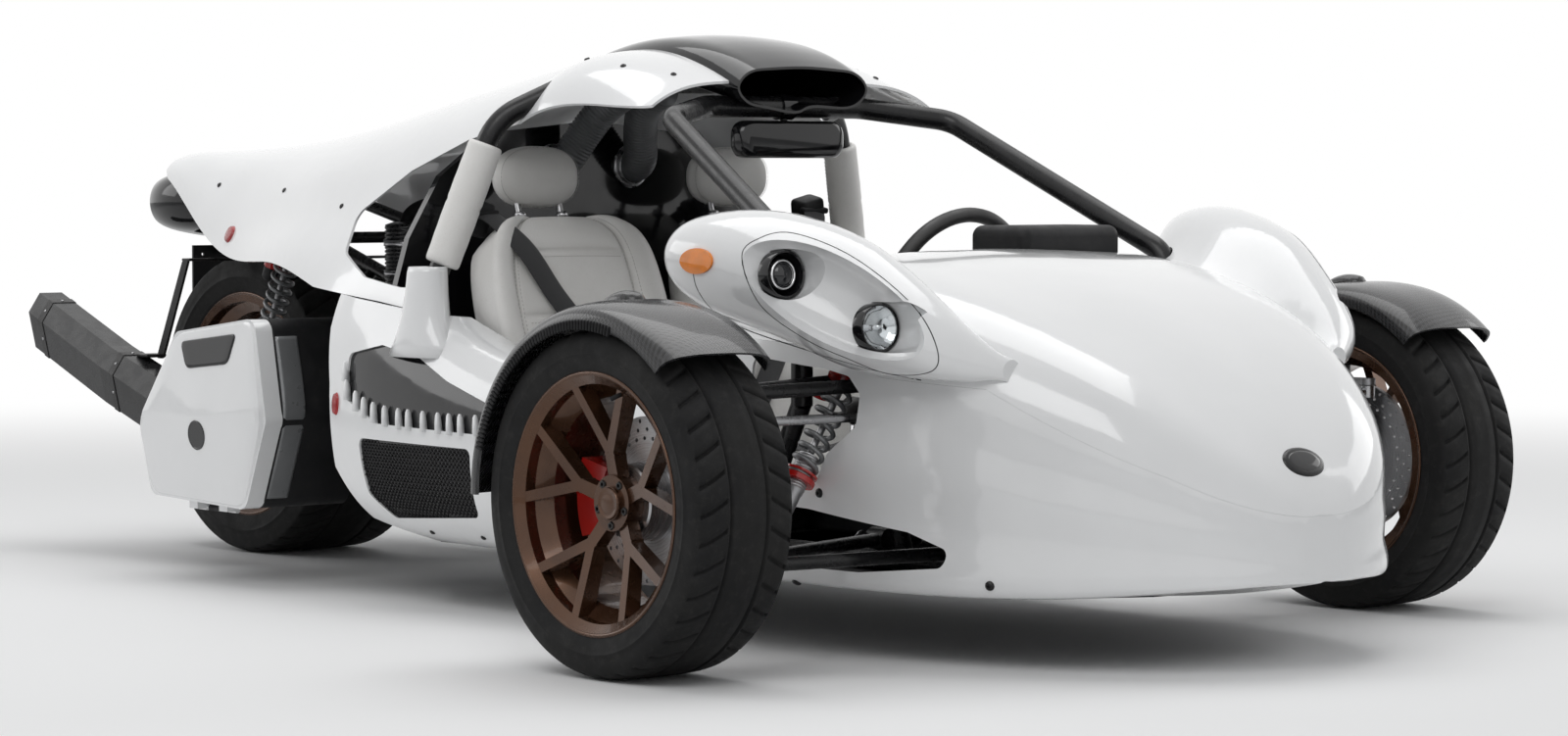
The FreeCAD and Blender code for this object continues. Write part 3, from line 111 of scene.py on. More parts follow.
def addCamera():
    camera = show(bpy.data.objects.new("camera", bpy.data.cameras.new("camera")))
    camera.data.lens = studio["lens"]
    camera.data.sensor_width = 36
    camera.data.clip_end = 100
    camera.location = at(*studio["eye"])
    camera.rotation_euler = (radians(90 + studio["pitch"]), 0, radians(studio["yaw"]))
    bpy.context.scene.camera = camera


def addLamp(name, place, target, size, watts):
    lamp = show(bpy.data.objects.new(name, bpy.data.lights.new(name, "AREA")))
    lamp.data.shape = "RECTANGLE"
    lamp.data.size, lamp.data.size_y = size
    lamp.data.energy = watts
    lamp.location = place
    lamp.rotation_euler = (Vector(target) - Vector(place)).to_track_quat("-Z", "Y").to_euler()


# the background is white where it is seen or mirrored, and dimmer where it lights
def addWorld():
    world = bpy.data.worlds.new("studio")
    world.use_nodes = True
    bpy.context.scene.world = world
    tree = world.node_tree
    tree.nodes.clear()
    path = addNode(tree, "ShaderNodeLightPath").outputs
    shown = addNode(tree, "ShaderNodeBackground", {"Color": (1, 1, 1, 1)})
    lit = addNode(tree, "ShaderNodeBackground",
                  {"Color": (0.97, 0.985, 1, 1), "Strength": studio["worldLight"]})
    bare = mathOf(tree, "MAXIMUM", path["Is Camera Ray"], path["Is Glossy Ray"])
    bare = mathOf(tree, "MAXIMUM", bare, path["Is Transmission Ray"])
    mix = addNode(tree, "ShaderNodeMixShader", {0: bare, 1: lit.outputs[0], 2: shown.outputs[0]})
    addNode(tree, "ShaderNodeOutputWorld", {"Surface": mix.outputs[0]})


def addFloor():
    mesh = bpy.data.meshes.new("floor")
    half = studio["floorHalf"]
    mesh.from_pydata([(-half, -half, 0), (half, -half, 0), (half, half, 0), (-half, half, 0)], [],
                     [(0, 1, 2, 3)])
    floor = show(bpy.data.objects.new("floor", mesh))
    material = bpy.data.materials.new("paleFloor")
    material.use_nodes = True
    tree = material.node_tree
    shader = tree.nodes["Principled BSDF"]
    # far from the car the floor runs out into the white background
    coordinate = addNode(tree, "ShaderNodeTexCoord")
    reach = vectorOf(tree, "LENGTH", {0: coordinate.outputs["Object"]})["Value"]
    fade = addNode(tree, "ShaderNodeMapRange",
                   {"From Min": studio["fade"][0], "From Max": studio["fade"][1], "Value": reach},
                   interpolation_type="SMOOTHSTEP")
    path = addNode(tree, "ShaderNodeLightPath")
    seenFade = mathOf(tree, "MULTIPLY", fade.outputs[0], path.outputs["Is Camera Ray"])
    white = addNode(tree, "ShaderNodeEmission")
    mix = addNode(tree, "ShaderNodeMixShader",
                  {0: seenFade, 1: shader.outputs[0], 2: white.outputs[0]})
    feed(tree, tree.nodes["Material Output"], {"Surface": mix.outputs[0]})
    feed(tree, shader, {"Base Color": (studio["floorColour"],) * 3 + (1,), "Roughness": 0.75,
                        "Specular IOR Level": 0.2})
    mesh.materials.append(material)


addCamera()
addWorld()
addFloor()
for row in studio["lamps"]:
    addLamp(*row)
bpy.context.scene.view_settings.view_transform = "Standard"
print("camera, floor and light are set")


# --- materials


def shaderOf(name):
    material = bpy.data.materials.new(name)
    material.use_nodes = True
    return material, material.node_tree, material.node_tree.nodes["Principled BSDF"]


def objectPoint(tree, turn=(0, 0, 0), source="Object"):
    coordinate = addNode(tree, "ShaderNodeTexCoord")
    mapping = addNode(tree, "ShaderNodeMapping",
                      {"Vector": coordinate.outputs[source], "Rotation": turn})
    return mapping.outputs["Vector"]


def noiseOf(tree, point, scale, detail=3.0, roughness=0.55):
    noise = addNode(tree, "ShaderNodeTexNoise",
                    {"Scale": scale, "Detail": detail, "Roughness": roughness, "Vector": point})
    return noise.outputs["Fac"]


def rampOf(tree, value, low, high, start=0.35, end=0.65):
    ramp = addNode(tree, "ShaderNodeMapRange", {"From Min": start, "From Max": end, "To Min": low,
                                                "To Max": high, "Value": value})
    return ramp.outputs["Result"]


def mixColour(tree, factor, first, second):
    sides = [value if hasattr(value, "is_linked") else tuple(value) + (1,)
             for value in (first, second)]
    mix = addNode(tree, "ShaderNodeMix", {0: factor, 6: sides[0], 7: sides[1]}, data_type="RGBA")
    return mix.outputs[2]


def bumpOf(tree, shader, height, strength, depth):
    bump = addNode(tree, "ShaderNodeBump",
                   {"Strength": strength, "Distance": depth, "Height": height})
    feed(tree, shader, {"Normal": bump.outputs["Normal"]})


# a paint, plastic or metal that differs only in its numbers
def surface(name, colour, other, roughness, spread=0.05, metal=0.0, coat=0.0, blotch=9.0,
            grain=0.0, grainScale=900.0, grainDepth=0.0004, dust=0.0, shine=0.5):
    material, tree, shader = shaderOf(name)
    point = objectPoint(tree)
    patch = rampOf(tree, noiseOf(tree, point, blotch), 0.0, 1.0)
    paint = mixColour(tree, patch, colour, other)
    if dust:
        speck = rampOf(tree, noiseOf(tree, point, 55.0, 6.0, 0.7), 0.0, dust, 0.52, 0.75)
        paint = mixColour(tree, speck, paint, (0.36, 0.34, 0.31))
    rough = noiseOf(tree, point, blotch * 4, 5.0)
    feed(tree, shader, {"Base Color": paint, "Metallic": metal, "Coat Weight": coat,
                        "Coat Roughness": 0.04, "Specular IOR Level": shine,
                        "Roughness": rampOf(tree, rough, roughness - spread, roughness + spread)})
    if grain:
        bumpOf(tree, shader, noiseOf(tree, point, grainScale, 4.0, 0.6), grain, grainDepth)
    return material


# two tows that cross at forty-five degrees, a band each way
def carbonWeave(pitch=330.0):
    material, tree, shader = shaderOf("carbonWeave")
    split = addNode(tree, "ShaderNodeSeparateXYZ", {0: objectPoint(tree, (0.9, 0.15, 0.78))})
    tows = [mathOf(tree, "MULTIPLY", split.outputs[i], pitch) for i in (0, 1)]
    cells = mathOf(tree, "ADD", *(mathOf(tree, "FLOOR", tow) for tow in tows))
    step = mathOf(tree, "FRACT", mathOf(tree, "MULTIPLY", cells, 0.25))
    over = mathOf(tree, "GREATER_THAN", step, 0.4)
    crowns = [mathOf(tree, "ABSOLUTE", mathOf(tree, "SINE", mathOf(tree, "MULTIPLY", tow, pi)))
              for tow in tows]
    blend = addNode(tree, "ShaderNodeMix", {0: over, 2: crowns[0], 3: crowns[1]},
                    data_type="FLOAT").outputs[0]
    tone = mixColour(tree, over, (0.0035, 0.0035, 0.004), (0.021, 0.021, 0.023))
    feed(tree, shader, {"Base Color": tone, "Roughness": rampOf(tree, blend, 0.42, 0.2, 0.0, 1.0),
                        "Specular IOR Level": 0.35, "Coat Weight": 0.4, "Coat Roughness": 0.03})
    bumpOf(tree, shader, blend, 0.25, 0.0006)
    return material


def leather():
    material, tree, shader = shaderOf("whiteLeather")
    point = objectPoint(tree)
    wander = addNode(tree, "ShaderNodeTexNoise", {"Scale": 60.0, "Vector": point})
    shrink = vectorOf(tree, "SCALE", {0: wander.outputs["Color"], "Scale": 0.006})[0]
    cells = addNode(tree, "ShaderNodeTexVoronoi", feature="DISTANCE_TO_EDGE")
    feed(tree, cells, {"Scale": 520.0, "Vector": vectorOf(tree, "ADD", {0: point, 1: shrink})[0]})
    soil = rampOf(tree, noiseOf(tree, point, 7.0, 5.0), 0.0, 1.0)
    tone = mixColour(tree, soil, (0.87, 0.86, 0.84), (0.80, 0.79, 0.765))
    # the grain's creases are painted darker, which is painted shade, and the bump below sinks them
    # too
    crease = rampOf(tree, cells.outputs["Distance"], 0.0, 1.0, 0.0, 0.06)
    feed(tree, shader, {"Base Color": mixColour(tree, crease, (0.70, 0.68, 0.65), tone),
                        "Roughness": rampOf(tree, noiseOf(tree, point, 30.0, 4.0), 0.36, 0.56),
                        "Sheen Weight": 0.15})
    bumpOf(tree, shader, crease, 0.35, 0.0005)
    return material


def lens(name, colour, depth=0.7, ribs=0.0):
    material, tree, shader = shaderOf(name)
    point = objectPoint(tree)
    patch = rampOf(tree, noiseOf(tree, point, 40.0), 0.0, 1.0)
    feed(tree, shader, {"Base Color": mixColour(tree, patch, colour, [c * depth for c in colour]),
                        "Roughness": 0.06, "Coat Weight": 0.3, "Coat Roughness": 0.02})
    if ribs:
        wave = addNode(tree, "ShaderNodeTexWave", {"Scale": ribs, "Vector": point})
        bumpOf(tree, shader, wave.outputs["Fac"], 0.5, 0.0012)
    return material


def clearGlass(name):
    material, tree, shader = shaderOf(name)
    patch = rampOf(tree, noiseOf(tree, objectPoint(tree), 12.0), 0.0, 1.0)
    tone = mixColour(tree, patch, (0.95, 0.97, 0.97), (0.90, 0.93, 0.94))
    feed(tree, shader, {"Base Color": tone, "Roughness": 0.0, "Transmission Weight": 1.0,
                        "IOR": 1.45})
    return material


# turned metal: fine rings about the wheel's axis, which runs along Y through the node's own centre
def turnedMetal(name, centre, colour, roughness):
    material, tree, shader = shaderOf(name)
    coordinate = addNode(tree, "ShaderNodeTexCoord")
    place = vectorOf(tree, "SUBTRACT", {0: coordinate.outputs["Object"], 1: centre})[0]
    flat = vectorOf(tree, "MULTIPLY", {0: place, 1: (1, 0, 1)})[0]
    ring = addNode(tree, "ShaderNodeTexNoise", noise_dimensions="1D")
    feed(tree, ring, {"Scale": 1400.0, "Detail": 4.0,
                      "W": vectorOf(tree, "LENGTH", {0: flat})["Value"]})
    ring = ring.outputs["Fac"]
    tone = mixColour(tree, rampOf(tree, ring, 0.0, 1.0), colour, [c * 0.72 for c in colour])
    feed(tree, shader, {"Base Color": tone, "Metallic": 1.0,
                        "Roughness": rampOf(tree, ring, roughness - 0.08, roughness + 0.1)})
    bumpOf(tree, shader, ring, 0.12, 0.0003)
    return material


def webbing():
    material, tree, shader = shaderOf("beltWebbing")
    along = objectPoint(tree, source="UV")
    stretched = vectorOf(tree, "MULTIPLY", {0: along, 1: (9.0, 60.0, 1.0)})[0]
    rib = addNode(tree, "ShaderNodeTexWave", {"Scale": 1.0, "Vector": stretched},
                  bands_direction="X")
    weft = addNode(tree, "ShaderNodeTexChecker", {"Scale": 1.0, "Vector": stretched})
    weave = mathOf(tree, "MULTIPLY", rib.outputs["Fac"],
                   mathOf(tree, "ADD", weft.outputs["Fac"], 0.5))
    feed(tree, shader, {"Base Color": mixColour(tree, weave, (0.012,) * 2 + (0.013,),
                                                (0.045, 0.045, 0.048)),
                        "Roughness": 0.8, "Sheen Weight": 0.3})
    bumpOf(tree, shader, weave, 0.5, 0.0005)
    return material


whitePaint = surface("glossWhite", (0.84, 0.845, 0.85), (0.79, 0.795, 0.80), 0.16,
                     coat=0.8, blotch=3.0, grain=0.05, grainScale=260.0)
pianoBlack = surface("glossBlack", (0.004, 0.004, 0.005), (0.008, 0.008, 0.009),
                     0.10, 0.04, coat=0.35, blotch=5.0, dust=0.012, shine=0.35)
frameBlack = surface("satinBlack", (0.007, 0.007, 0.0075), (0.013, 0.013, 0.014),
                     0.27, 0.06, grain=0.05, grainScale=1500.0, grainDepth=0.0002, dust=0.015,
                     shine=0.35)
plasticBlack = surface("matteBlack", (0.008, 0.008, 0.009), (0.015, 0.015, 0.016),
                       0.55, 0.08, grain=0.4, grainScale=1100.0, dust=0.02, shine=0.25)
rubberBlack = surface("softRubber", (0.008, 0.008, 0.0085), (0.015, 0.015, 0.016), 0.66,
                      0.08, grain=0.25, grainScale=700.0, dust=0.03, shine=0.22)
tyreRubber = surface("tyreRubber", (0.0085, 0.0085, 0.009), (0.015, 0.0148, 0.0145), 0.74,
                     0.07, grain=0.3, grainScale=620.0, dust=0.035, shine=0.2)
bronzePaint = surface("bronzePaint", (0.090, 0.041, 0.020), (0.066, 0.031, 0.017), 0.25,
                      0.06, metal=0.7, coat=0.3, grain=0.12, grainScale=1700.0, grainDepth=0.0002,
                      dust=0.015)
redPaint = surface("redPaint", (0.52, 0.008, 0.006), (0.42, 0.007, 0.005), 0.22, coat=0.4,
                   grain=0.1, grainScale=1300.0)
castSilver = surface("castSilver", (0.42, 0.42, 0.43), (0.32, 0.32, 0.33), 0.42, 0.09,
                     metal=0.9, grain=0.4, grainScale=800.0, dust=0.12)
brushedSteel = surface("brushedSteel", (0.52, 0.52, 0.53), (0.40, 0.40, 0.41), 0.30, 0.08,
                       metal=1.0, grain=0.15, grainScale=1900.0, grainDepth=0.0002)
mirrorChrome = surface("mirrorChrome", (0.80, 0.80, 0.81), (0.72, 0.72, 0.73), 0.07, 0.03,
                       metal=1.0)
blackSteel = surface("blackenedSteel", (0.010, 0.010, 0.0105), (0.020, 0.019, 0.019),
                     0.34, 0.08, metal=0.15, grain=0.3, dust=0.02, shine=0.35)
greyPaint = surface("greyPaint", (0.24, 0.245, 0.25), (0.19, 0.195, 0.20), 0.34,
                    0.07, metal=0.3, coat=0.2, grain=0.1, grainScale=1500.0)
leatherBlack = surface("blackLeather", (0.020, 0.020, 0.021), (0.036, 0.035, 0.034),
                       0.5, 0.08, grain=0.5, grainScale=520.0, grainDepth=0.0005)
ductGrey = surface("ductGrey", (0.17, 0.175, 0.18), (0.12, 0.125, 0.13), 0.42, 0.08,
                   metal=0.2, grain=0.2)
threadGrey = surface("thread", (0.50, 0.49, 0.47), (0.42, 0.41, 0.39), 0.7)
carbon = carbonWeave()
whiteLeather = leather()
lampGlass = clearGlass("lampGlass")
amberLens = lens("amberLens", (1.0, 0.27, 0.0), 0.85, ribs=160.0)
redLens = lens("redLens", (0.42, 0.008, 0.012), ribs=120.0)
smokedGlass = lens("smokedGlass", (0.012, 0.013, 0.016), 0.5)
belt = webbing()
print("materials are made")

finishes = (
    (whitePaint, "nose_hood nose_lower side_panel_right side_panel_left rear_fairing roof_panel "
                 "case_lid_right case_lid_left"),
    (pianoBlack, "side_grilles roof_scoop bulkhead tail_housing"),
    (plasticBlack, "dash floor_pan steering_wheel centre_tunnel mirror case_bodies plate_bracket"),
    (frameBlack, "front_frame lower_frame rear_subframe front_hoop main_hoop fender_bracket_right "
                 "fender_bracket_left lower_arms upper_arms swingarm mufflers"),
    (castSilver, "knuckle_right knuckle_left coil_overs_front coil_overs_rear engine_block"),
    (brushedSteel, "steering_rack gear_lever rear_hub chain disc_front_right disc_front_left"),
    (bronzePaint, "rim_front_right rim_front_left rim_rear"),
    (tyreRubber, "tyre_front_right tyre_front_left tyre_rear"),
    (whiteLeather, "seats headrests hoop_pads"), (carbon, "fender_right fender_left"),
    (redPaint, "caliper_right caliper_left"), (redLens, "tail_lamps"),
    (amberLens, "side_markers"), (lampGlass, "headlamps"), (rubberBlack, "rack_housing"),
    (greyPaint, "intake_ducts"))
for material, names in finishes:
    for name in names.split():
        nodes[name].data.materials.clear()
        nodes[name].data.materials.append(material)
print("the solids have their finishes")


# --- helpers that make pieces

# an object with its mesh in place; edges steeper than sharp, in degrees, stay hard
def piece(name, mesh, material, body="car", smooth=True, sharp=None):
    obj = show(bpy.data.objects.new(name, mesh))
    mesh.materials.clear()
    mesh.materials.append(material)
    if smooth:
        mesh.shade_smooth()
    if sharp:
        mesh.set_sharp_from_angle(angle=radians(sharp))
    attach(obj, body)
    return obj


def meshOf(name, points, faces):
    mesh = bpy.data.meshes.new(name)
    mesh.from_pydata([tuple(p) for p in points], [], faces)
    mesh.validate()
    return mesh


def tidied(mesh, merge=0.0):
    work = bmesh.new()
    work.from_mesh(mesh)
    if merge:
        bmesh.ops.remove_doubles(work, verts=work.verts, dist=merge)
    bmesh.ops.recalc_face_normals(work, faces=work.faces)
    work.to_mesh(mesh)
    work.free()
    return mesh


def joined(name, meshes):
    work = bmesh.new()
    for mesh in meshes:
        work.from_mesh(mesh)
    whole = bpy.data.meshes.new(name)
    work.to_mesh(whole)
    work.free()
    return whole


def mirrorOver(mesh):
    copy = mesh.copy()
    copy.transform(Matrix.Diagonal((1, -1, 1, 1)))
    copy.flip_normals()
    return copy


def bothSides(name, meshes):
    return joined(name, [m for mesh in meshes for m in (mesh, mirrorOver(mesh))])


# one piece made of several meshes, and one that is mirrored to the other side too
def joinedPiece(name, meshes, material, body="car", sharp=None):
    return piece(name, joined(name, meshes), material, body, sharp=sharp)


def mirroredPiece(name, meshes, material, sharp=None):
    return piece(name, bothSides(name, meshes), material, "car", sharp=sharp)


# rings of points joined in order; caps close the ends
def loft(name, rings, caps=True, round=False):
    count = len(rings[0])
    points = [p for ring in rings for p in ring]
    faces = []
    for i in range(len(rings) if round else len(rings) - 1):
        a, b = i * count, ((i + 1) % len(rings)) * count
        for j in range(count):
            k = (j + 1) % count
            faces.append((a + j, a + k, b + k, b + j))
    if caps and not round:
        faces.append(tuple(range(count))[::-1])
        faces.append(tuple(range(len(points) - count, len(points))))
    return tidied(meshOf(name, points, faces))


def circleAt(centre, side, top, radius, steps):
    turns = [2 * pi * k / steps for k in range(steps)]
    return [centre + (side * cos(turn) + top * sin(turn)) * radius for turn in turns]


# a profile of (along, radius) pairs turned about an axis
def turned(name, profile, base, axis, steps=48, caps=True):
    axis = Vector(axis).normalized()
    side = axis.orthogonal().normalized()
    top = axis.cross(side)
    return loft(name, [circleAt(Vector(base) + axis * along, side, top, max(radius, 1e-5), steps)
                       for along, radius in profile], caps)


# the same with a profile that closes on itself
def closedTurn(name, profile, base, axis, steps=36):
    whole = turned(name, list(profile) + [profile[0]], base, axis, steps, caps=False)
    return tidied(whole, 0.00001)


def meshFrom(holder):
    bpy.context.view_layer.update()
    shape = holder.evaluated_get(bpy.context.evaluated_depsgraph_get())
    mesh = bpy.data.meshes.new_from_object(shape)
    bpy.data.objects.remove(holder)
    return mesh


# points along a smooth line that starts and ends at the given ones
def smoothPath(points, count):
    curve = bpy.data.curves.new("path", "CURVE")
    curve.dimensions = "3D"
    line = curve.splines.new("NURBS")
    line.points.add(len(points) - 1)
    for spot, p in zip(line.points, points):
        spot.co = (*p, 1)
    line.order_u = 4 if len(points) > 3 else 3
    line.use_endpoint_u = True
    line.resolution_u = max(2, int(count / max(1, len(points) - 1)) + 1)
    mesh = meshFrom(show(bpy.data.objects.new("path", curve)))
    return [v.co.copy() for v in mesh.vertices]


# a round rod along a smooth line
def tubeAlong(name, points, radius, steps=16, count=40):
    path = smoothPath(points, count) if len(points) > 2 else points
    rings = []
    for i, point in enumerate(path):
        along = (path[min(i + 1, len(path) - 1)] - path[max(i - 1, 0)]).normalized()
        side = along.cross(up)
        side = side.normalized() if side.length > 1e-6 else across
        rings.append(circleAt(point, side, side.cross(along).normalized(), radius, steps))
    return loft(name, rings)


# a box with rounded edges, by its middle and size in metres
def softBox(name, middle, size, corner, segments=3, turn=(0, 0, 0)):
    work = bmesh.new()
    bmesh.ops.create_cube(work, size=1)
    bmesh.ops.scale(work, vec=size, verts=work.verts)
    bmesh.ops.bevel(work, geom=work.edges[:], offset=corner, segments=segments, profile=0.5,
                    affect="EDGES")
    mesh = bpy.data.meshes.new(name)
    work.to_mesh(mesh)
    work.free()
    mesh.transform(Matrix.Translation(middle) @ Euler(turn).to_matrix().to_4x4())
    return mesh


# --- geometry trees for what repeats

def newTree(name, **inputs):
    tree = bpy.data.node_groups.new(name, "GeometryNodeTree")
    sockets = [("Geometry", "INPUT", "Geometry"), ("Geometry", "OUTPUT", "Geometry")]
    sockets += [(label, "INPUT", kind) for label, kind in inputs.items()]
    for label, side, kind in sockets:
        tree.interface.new_socket(label, in_out=side, socket_type="NodeSocket" + kind)
    return tree, addNode(tree, "NodeGroupInput").outputs


def endTree(tree, shape, finish):
    shape = addNode(tree, "GeometryNodeSetMaterial", {"Geometry": shape, "Material": finish})
    addNode(tree, "NodeGroupOutput", {0: shape.outputs[0]})
    return tree


def realCopies(tree, inputs):
    copies = addNode(tree, "GeometryNodeInstanceOnPoints", inputs)
    return addNode(tree, "GeometryNodeRealizeInstances", {0: copies.outputs[0]}).outputs[0]


# the tree's result as a plain mesh
def grown(name, mesh, tree, values):
    holder = show(bpy.data.objects.new(name, mesh))
    modifier = holder.modifiers.new("tree", "NODES")
    modifier.node_group = tree
    for item in tree.interface.items_tree:
        if item.in_out == "INPUT" and item.name in values:
            modifier[item.identifier] = values[item.name]
    result = meshFrom(holder)
    result.name = name
    return result


# copies of a mesh turned about a line through Centre along Axis, joined where they meet
def ringTree():
    tree, given = newTree("copiesInRing", Count="Int", Centre="Vector", Axis="Vector",
                          Merge="Float", Finish="Material")
    points = addNode(tree, "GeometryNodePoints",
                     {"Count": given["Count"], "Position": given["Centre"]})
    back = vectorOf(tree, "SCALE", {0: given["Centre"], "Scale": -1})[0]
    home = addNode(tree, "GeometryNodeTransform",
                   {"Geometry": given["Geometry"], "Translation": back})
    index = addNode(tree, "GeometryNodeInputIndex")
    share = mathOf(tree, "DIVIDE", index.outputs[0], given["Count"])
    spin = addNode(tree, "FunctionNodeAxisAngleToRotation",
                   {"Angle": mathOf(tree, "MULTIPLY", share, 2 * pi), "Axis": given["Axis"]})
    copies = realCopies(tree, {"Points": points.outputs[0], "Instance": home.outputs[0],
                               "Rotation": spin.outputs[0]})
    whole = addNode(tree, "GeometryNodeMergeByDistance",
                    {"Geometry": copies, "Distance": given["Merge"]})
    return endTree(tree, whole.outputs[0], given["Finish"])


# copies of an object on points, with their Z along facing and their X near heading
def pointTree():
    tree, given = newTree("copiesOnPoints", Copy="Object", Finish="Material")
    source = addNode(tree, "GeometryNodeObjectInfo", {"Object": given["Copy"]})
    facing, heading = (addNode(tree, "GeometryNodeInputNamedAttribute", {"Name": label},
                               data_type="FLOAT_VECTOR").outputs[0]
                       for label in ("facing", "heading"))
    aim = addNode(tree, "FunctionNodeAlignRotationToVector", {"Vector": facing}, axis="Z")
    turn = addNode(tree, "FunctionNodeAlignRotationToVector",
                   {"Rotation": aim.outputs[0], "Vector": heading}, axis="X", pivot_axis="Z")
    copies = realCopies(tree, {"Points": given["Geometry"], "Rotation": turn.outputs[0],
                               "Instance": source.outputs["Geometry"]})
    return endTree(tree, copies, given["Finish"])


# wire carried along an open helix about Z
def springTree():
    tree, given = newTree("springWire", Turns="Float", Radius="Float", Height="Float",
                          Wire="Float", Finish="Material")
    spiral = addNode(tree, "GeometryNodeCurveSpiral",
                     {"Resolution": 28, "Rotations": given["Turns"], "Start Radius": given["Radius"],
                      "End Radius": given["Radius"], "Height": given["Height"]})
    section = addNode(tree, "GeometryNodeCurvePrimitiveCircle",
                      {"Resolution": 10, "Radius": given["Wire"]})
    wire = addNode(tree, "GeometryNodeCurveToMesh",
                   {"Curve": spiral.outputs[0], "Profile Curve": section.outputs[0],
                    "Fill Caps": True})
    return endTree(tree, wire.outputs[0], given["Finish"])


copiesInRing = ringTree()
copiesOnPoints = pointTree()
springWire = springTree()


# copies of a small mesh at given places; each place is (point, facing, heading)
def scattered(name, small, places, material):
    carrier = meshOf(name + "Places", [p[0] for p in places], [])
    for label, column in (("facing", 1), ("heading", 2)):
        layer = carrier.attributes.new(label, "FLOAT_VECTOR", "POINT")
        layer.data.foreach_set("vector", [c for p in places for c in p[column]])
    copy = show(bpy.data.objects.new(name + "Copy", small))
    mesh = grown(name, carrier, copiesOnPoints, {"Copy": copy, "Finish": material})
    bpy.data.objects.remove(copy)
    return mesh


def scatterPiece(name, small, places, material, body="car", smooth=False):
    return piece(name, scattered(name, small, places, material), material, body, smooth)


def around(name, wedge, count, centre, axis, material):
    values = {"Count": count, "Centre": tuple(centre), "Axis": tuple(axis), "Merge": 0.00004,
              "Finish": material}
    return tidied(grown(name, wedge, copiesInRing, values))


# --- tyres, with grooves in the tread and rings on the walls

tyreLook = {"front": {"radius": 288, "width": 206, "bead": 204, "pitches": 38},
            "rear": {"radius": 325, "width": 295, "bead": 229.5, "pitches": 42},
            "ring": 8.0, "depth": 6.5, "slant": 0.42, "inner": 0.36, "blockDepth": 5.3,
            # shares of the wall's height and of the half width
            "wall": ((0, 0.86), (0.12, 0.89), (0.16, 0.925), (0.20, 0.935), (0.25, 0.945),
                     (0.40, 0.982), (0.47, 0.992), (0.48, 0.998), (0.50, 0.998), (0.51, 0.992),
                     (0.62, 0.988), (0.72, 0.975), (0.80, 0.958)),
            # how far below the crown and inside the shoulder, and whether the cuts reach there
            "shoulder": ((13, -2.5, 0), (9, 0, 0), (8.6, 0.8, 1), (5.5, 5, 1), (3.4, 11, 1),
                         (1.9, 20, 1)),
            # shares of a pitch, and whether the tread is cut there
            "cuts": ((0.0, 0), (0.27, 0), (0.55, 0), (0.825, 0), (0.84, 1), (0.985, 1), (1.0, 0))}


def tyreWedge(end):
    look, common = tyreLook[end], tyreLook
    radius, half, bead = look["radius"], look["width"] / 2, look["bead"]
    tall, shoulder = radius - bead, half - 9
    inner, ring, floor = half * common["inner"], common["ring"] / 2, radius - common["depth"]
    rows = [(bead + share * tall, wide * half, 0) for share, wide in common["wall"]]
    rows.insert(1, (bead + 2, 0.875 * half, 0))
    rows += [(radius - drop, shoulder - inset, deep) for drop, inset, deep in common["shoulder"]]
    rows += [(radius - 1.0, half * 0.62, 1), (radius - 0.5, half * 0.50, 1),
             (radius - 0.3, inner + ring + 3.6, 1), (radius - 0.3, inner + ring + 3.2, 0),
             (radius - 0.2, inner + ring, 0), (floor, inner + ring - 1.2, 0),
             (floor, inner - ring + 1.2, 0), (radius - 0.1, inner - ring, 0),
             (radius, inner * 0.4, 0)]
    whole = rows + [(r, -y, d) for r, y, d in reversed(rows)]
    points, faces = [], []
    for u, sunk in common["cuts"]:
        for r, y, deep in whole:
            lean = common["slant"] * max(0.0, abs(y) - inner) / radius * 1.35
            lean += 0.012 * sin(abs(y) / half * pi)
            lean *= 1 if r > radius - 14 else max(0.0, 1 - (radius - 14 - r) / (0.3 * tall))
            turn = u * 2 * pi / look["pitches"] + lean
            low = r - (common["blockDepth"] if sunk and deep else 0)
            points.append(Vector((low * sin(turn), y, low * cos(turn))) / 1000)
    count = len(whole)
    for i in range(len(common["cuts"]) - 1):
        a, b = i * count, (i + 1) * count
        faces += [(a + j, b + j, b + (j + 1) % count, a + (j + 1) % count) for j in range(count)]
    return meshOf("tyreWedge", points, faces)


def addTyre(place, end):
    node, body = "tyre_" + place, "wheel_" + place
    low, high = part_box(node)
    centre = (low + high) / 2
    wedge = tyreWedge(end)
    wedge.transform(Matrix.Translation(centre))
    mesh = around("tread", wedge, tyreLook[end]["pitches"], centre, across, tyreRubber)
    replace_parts(piece("tread_" + node, mesh, tyreRubber, body), node)


for place in ("front_right", "front_left", "rear"):
    addTyre(place, place.split("_")[0])
print("tyres have their tread")


# --- brakes: drilled discs with a bell

discLook = {"radius": 139.5, "inner": 96, "bell": 62, "thick": 10, "inset": 22, "face": 24,
            "slices": 30, "rows": 3, "hole": 3.4, "steps": 16}


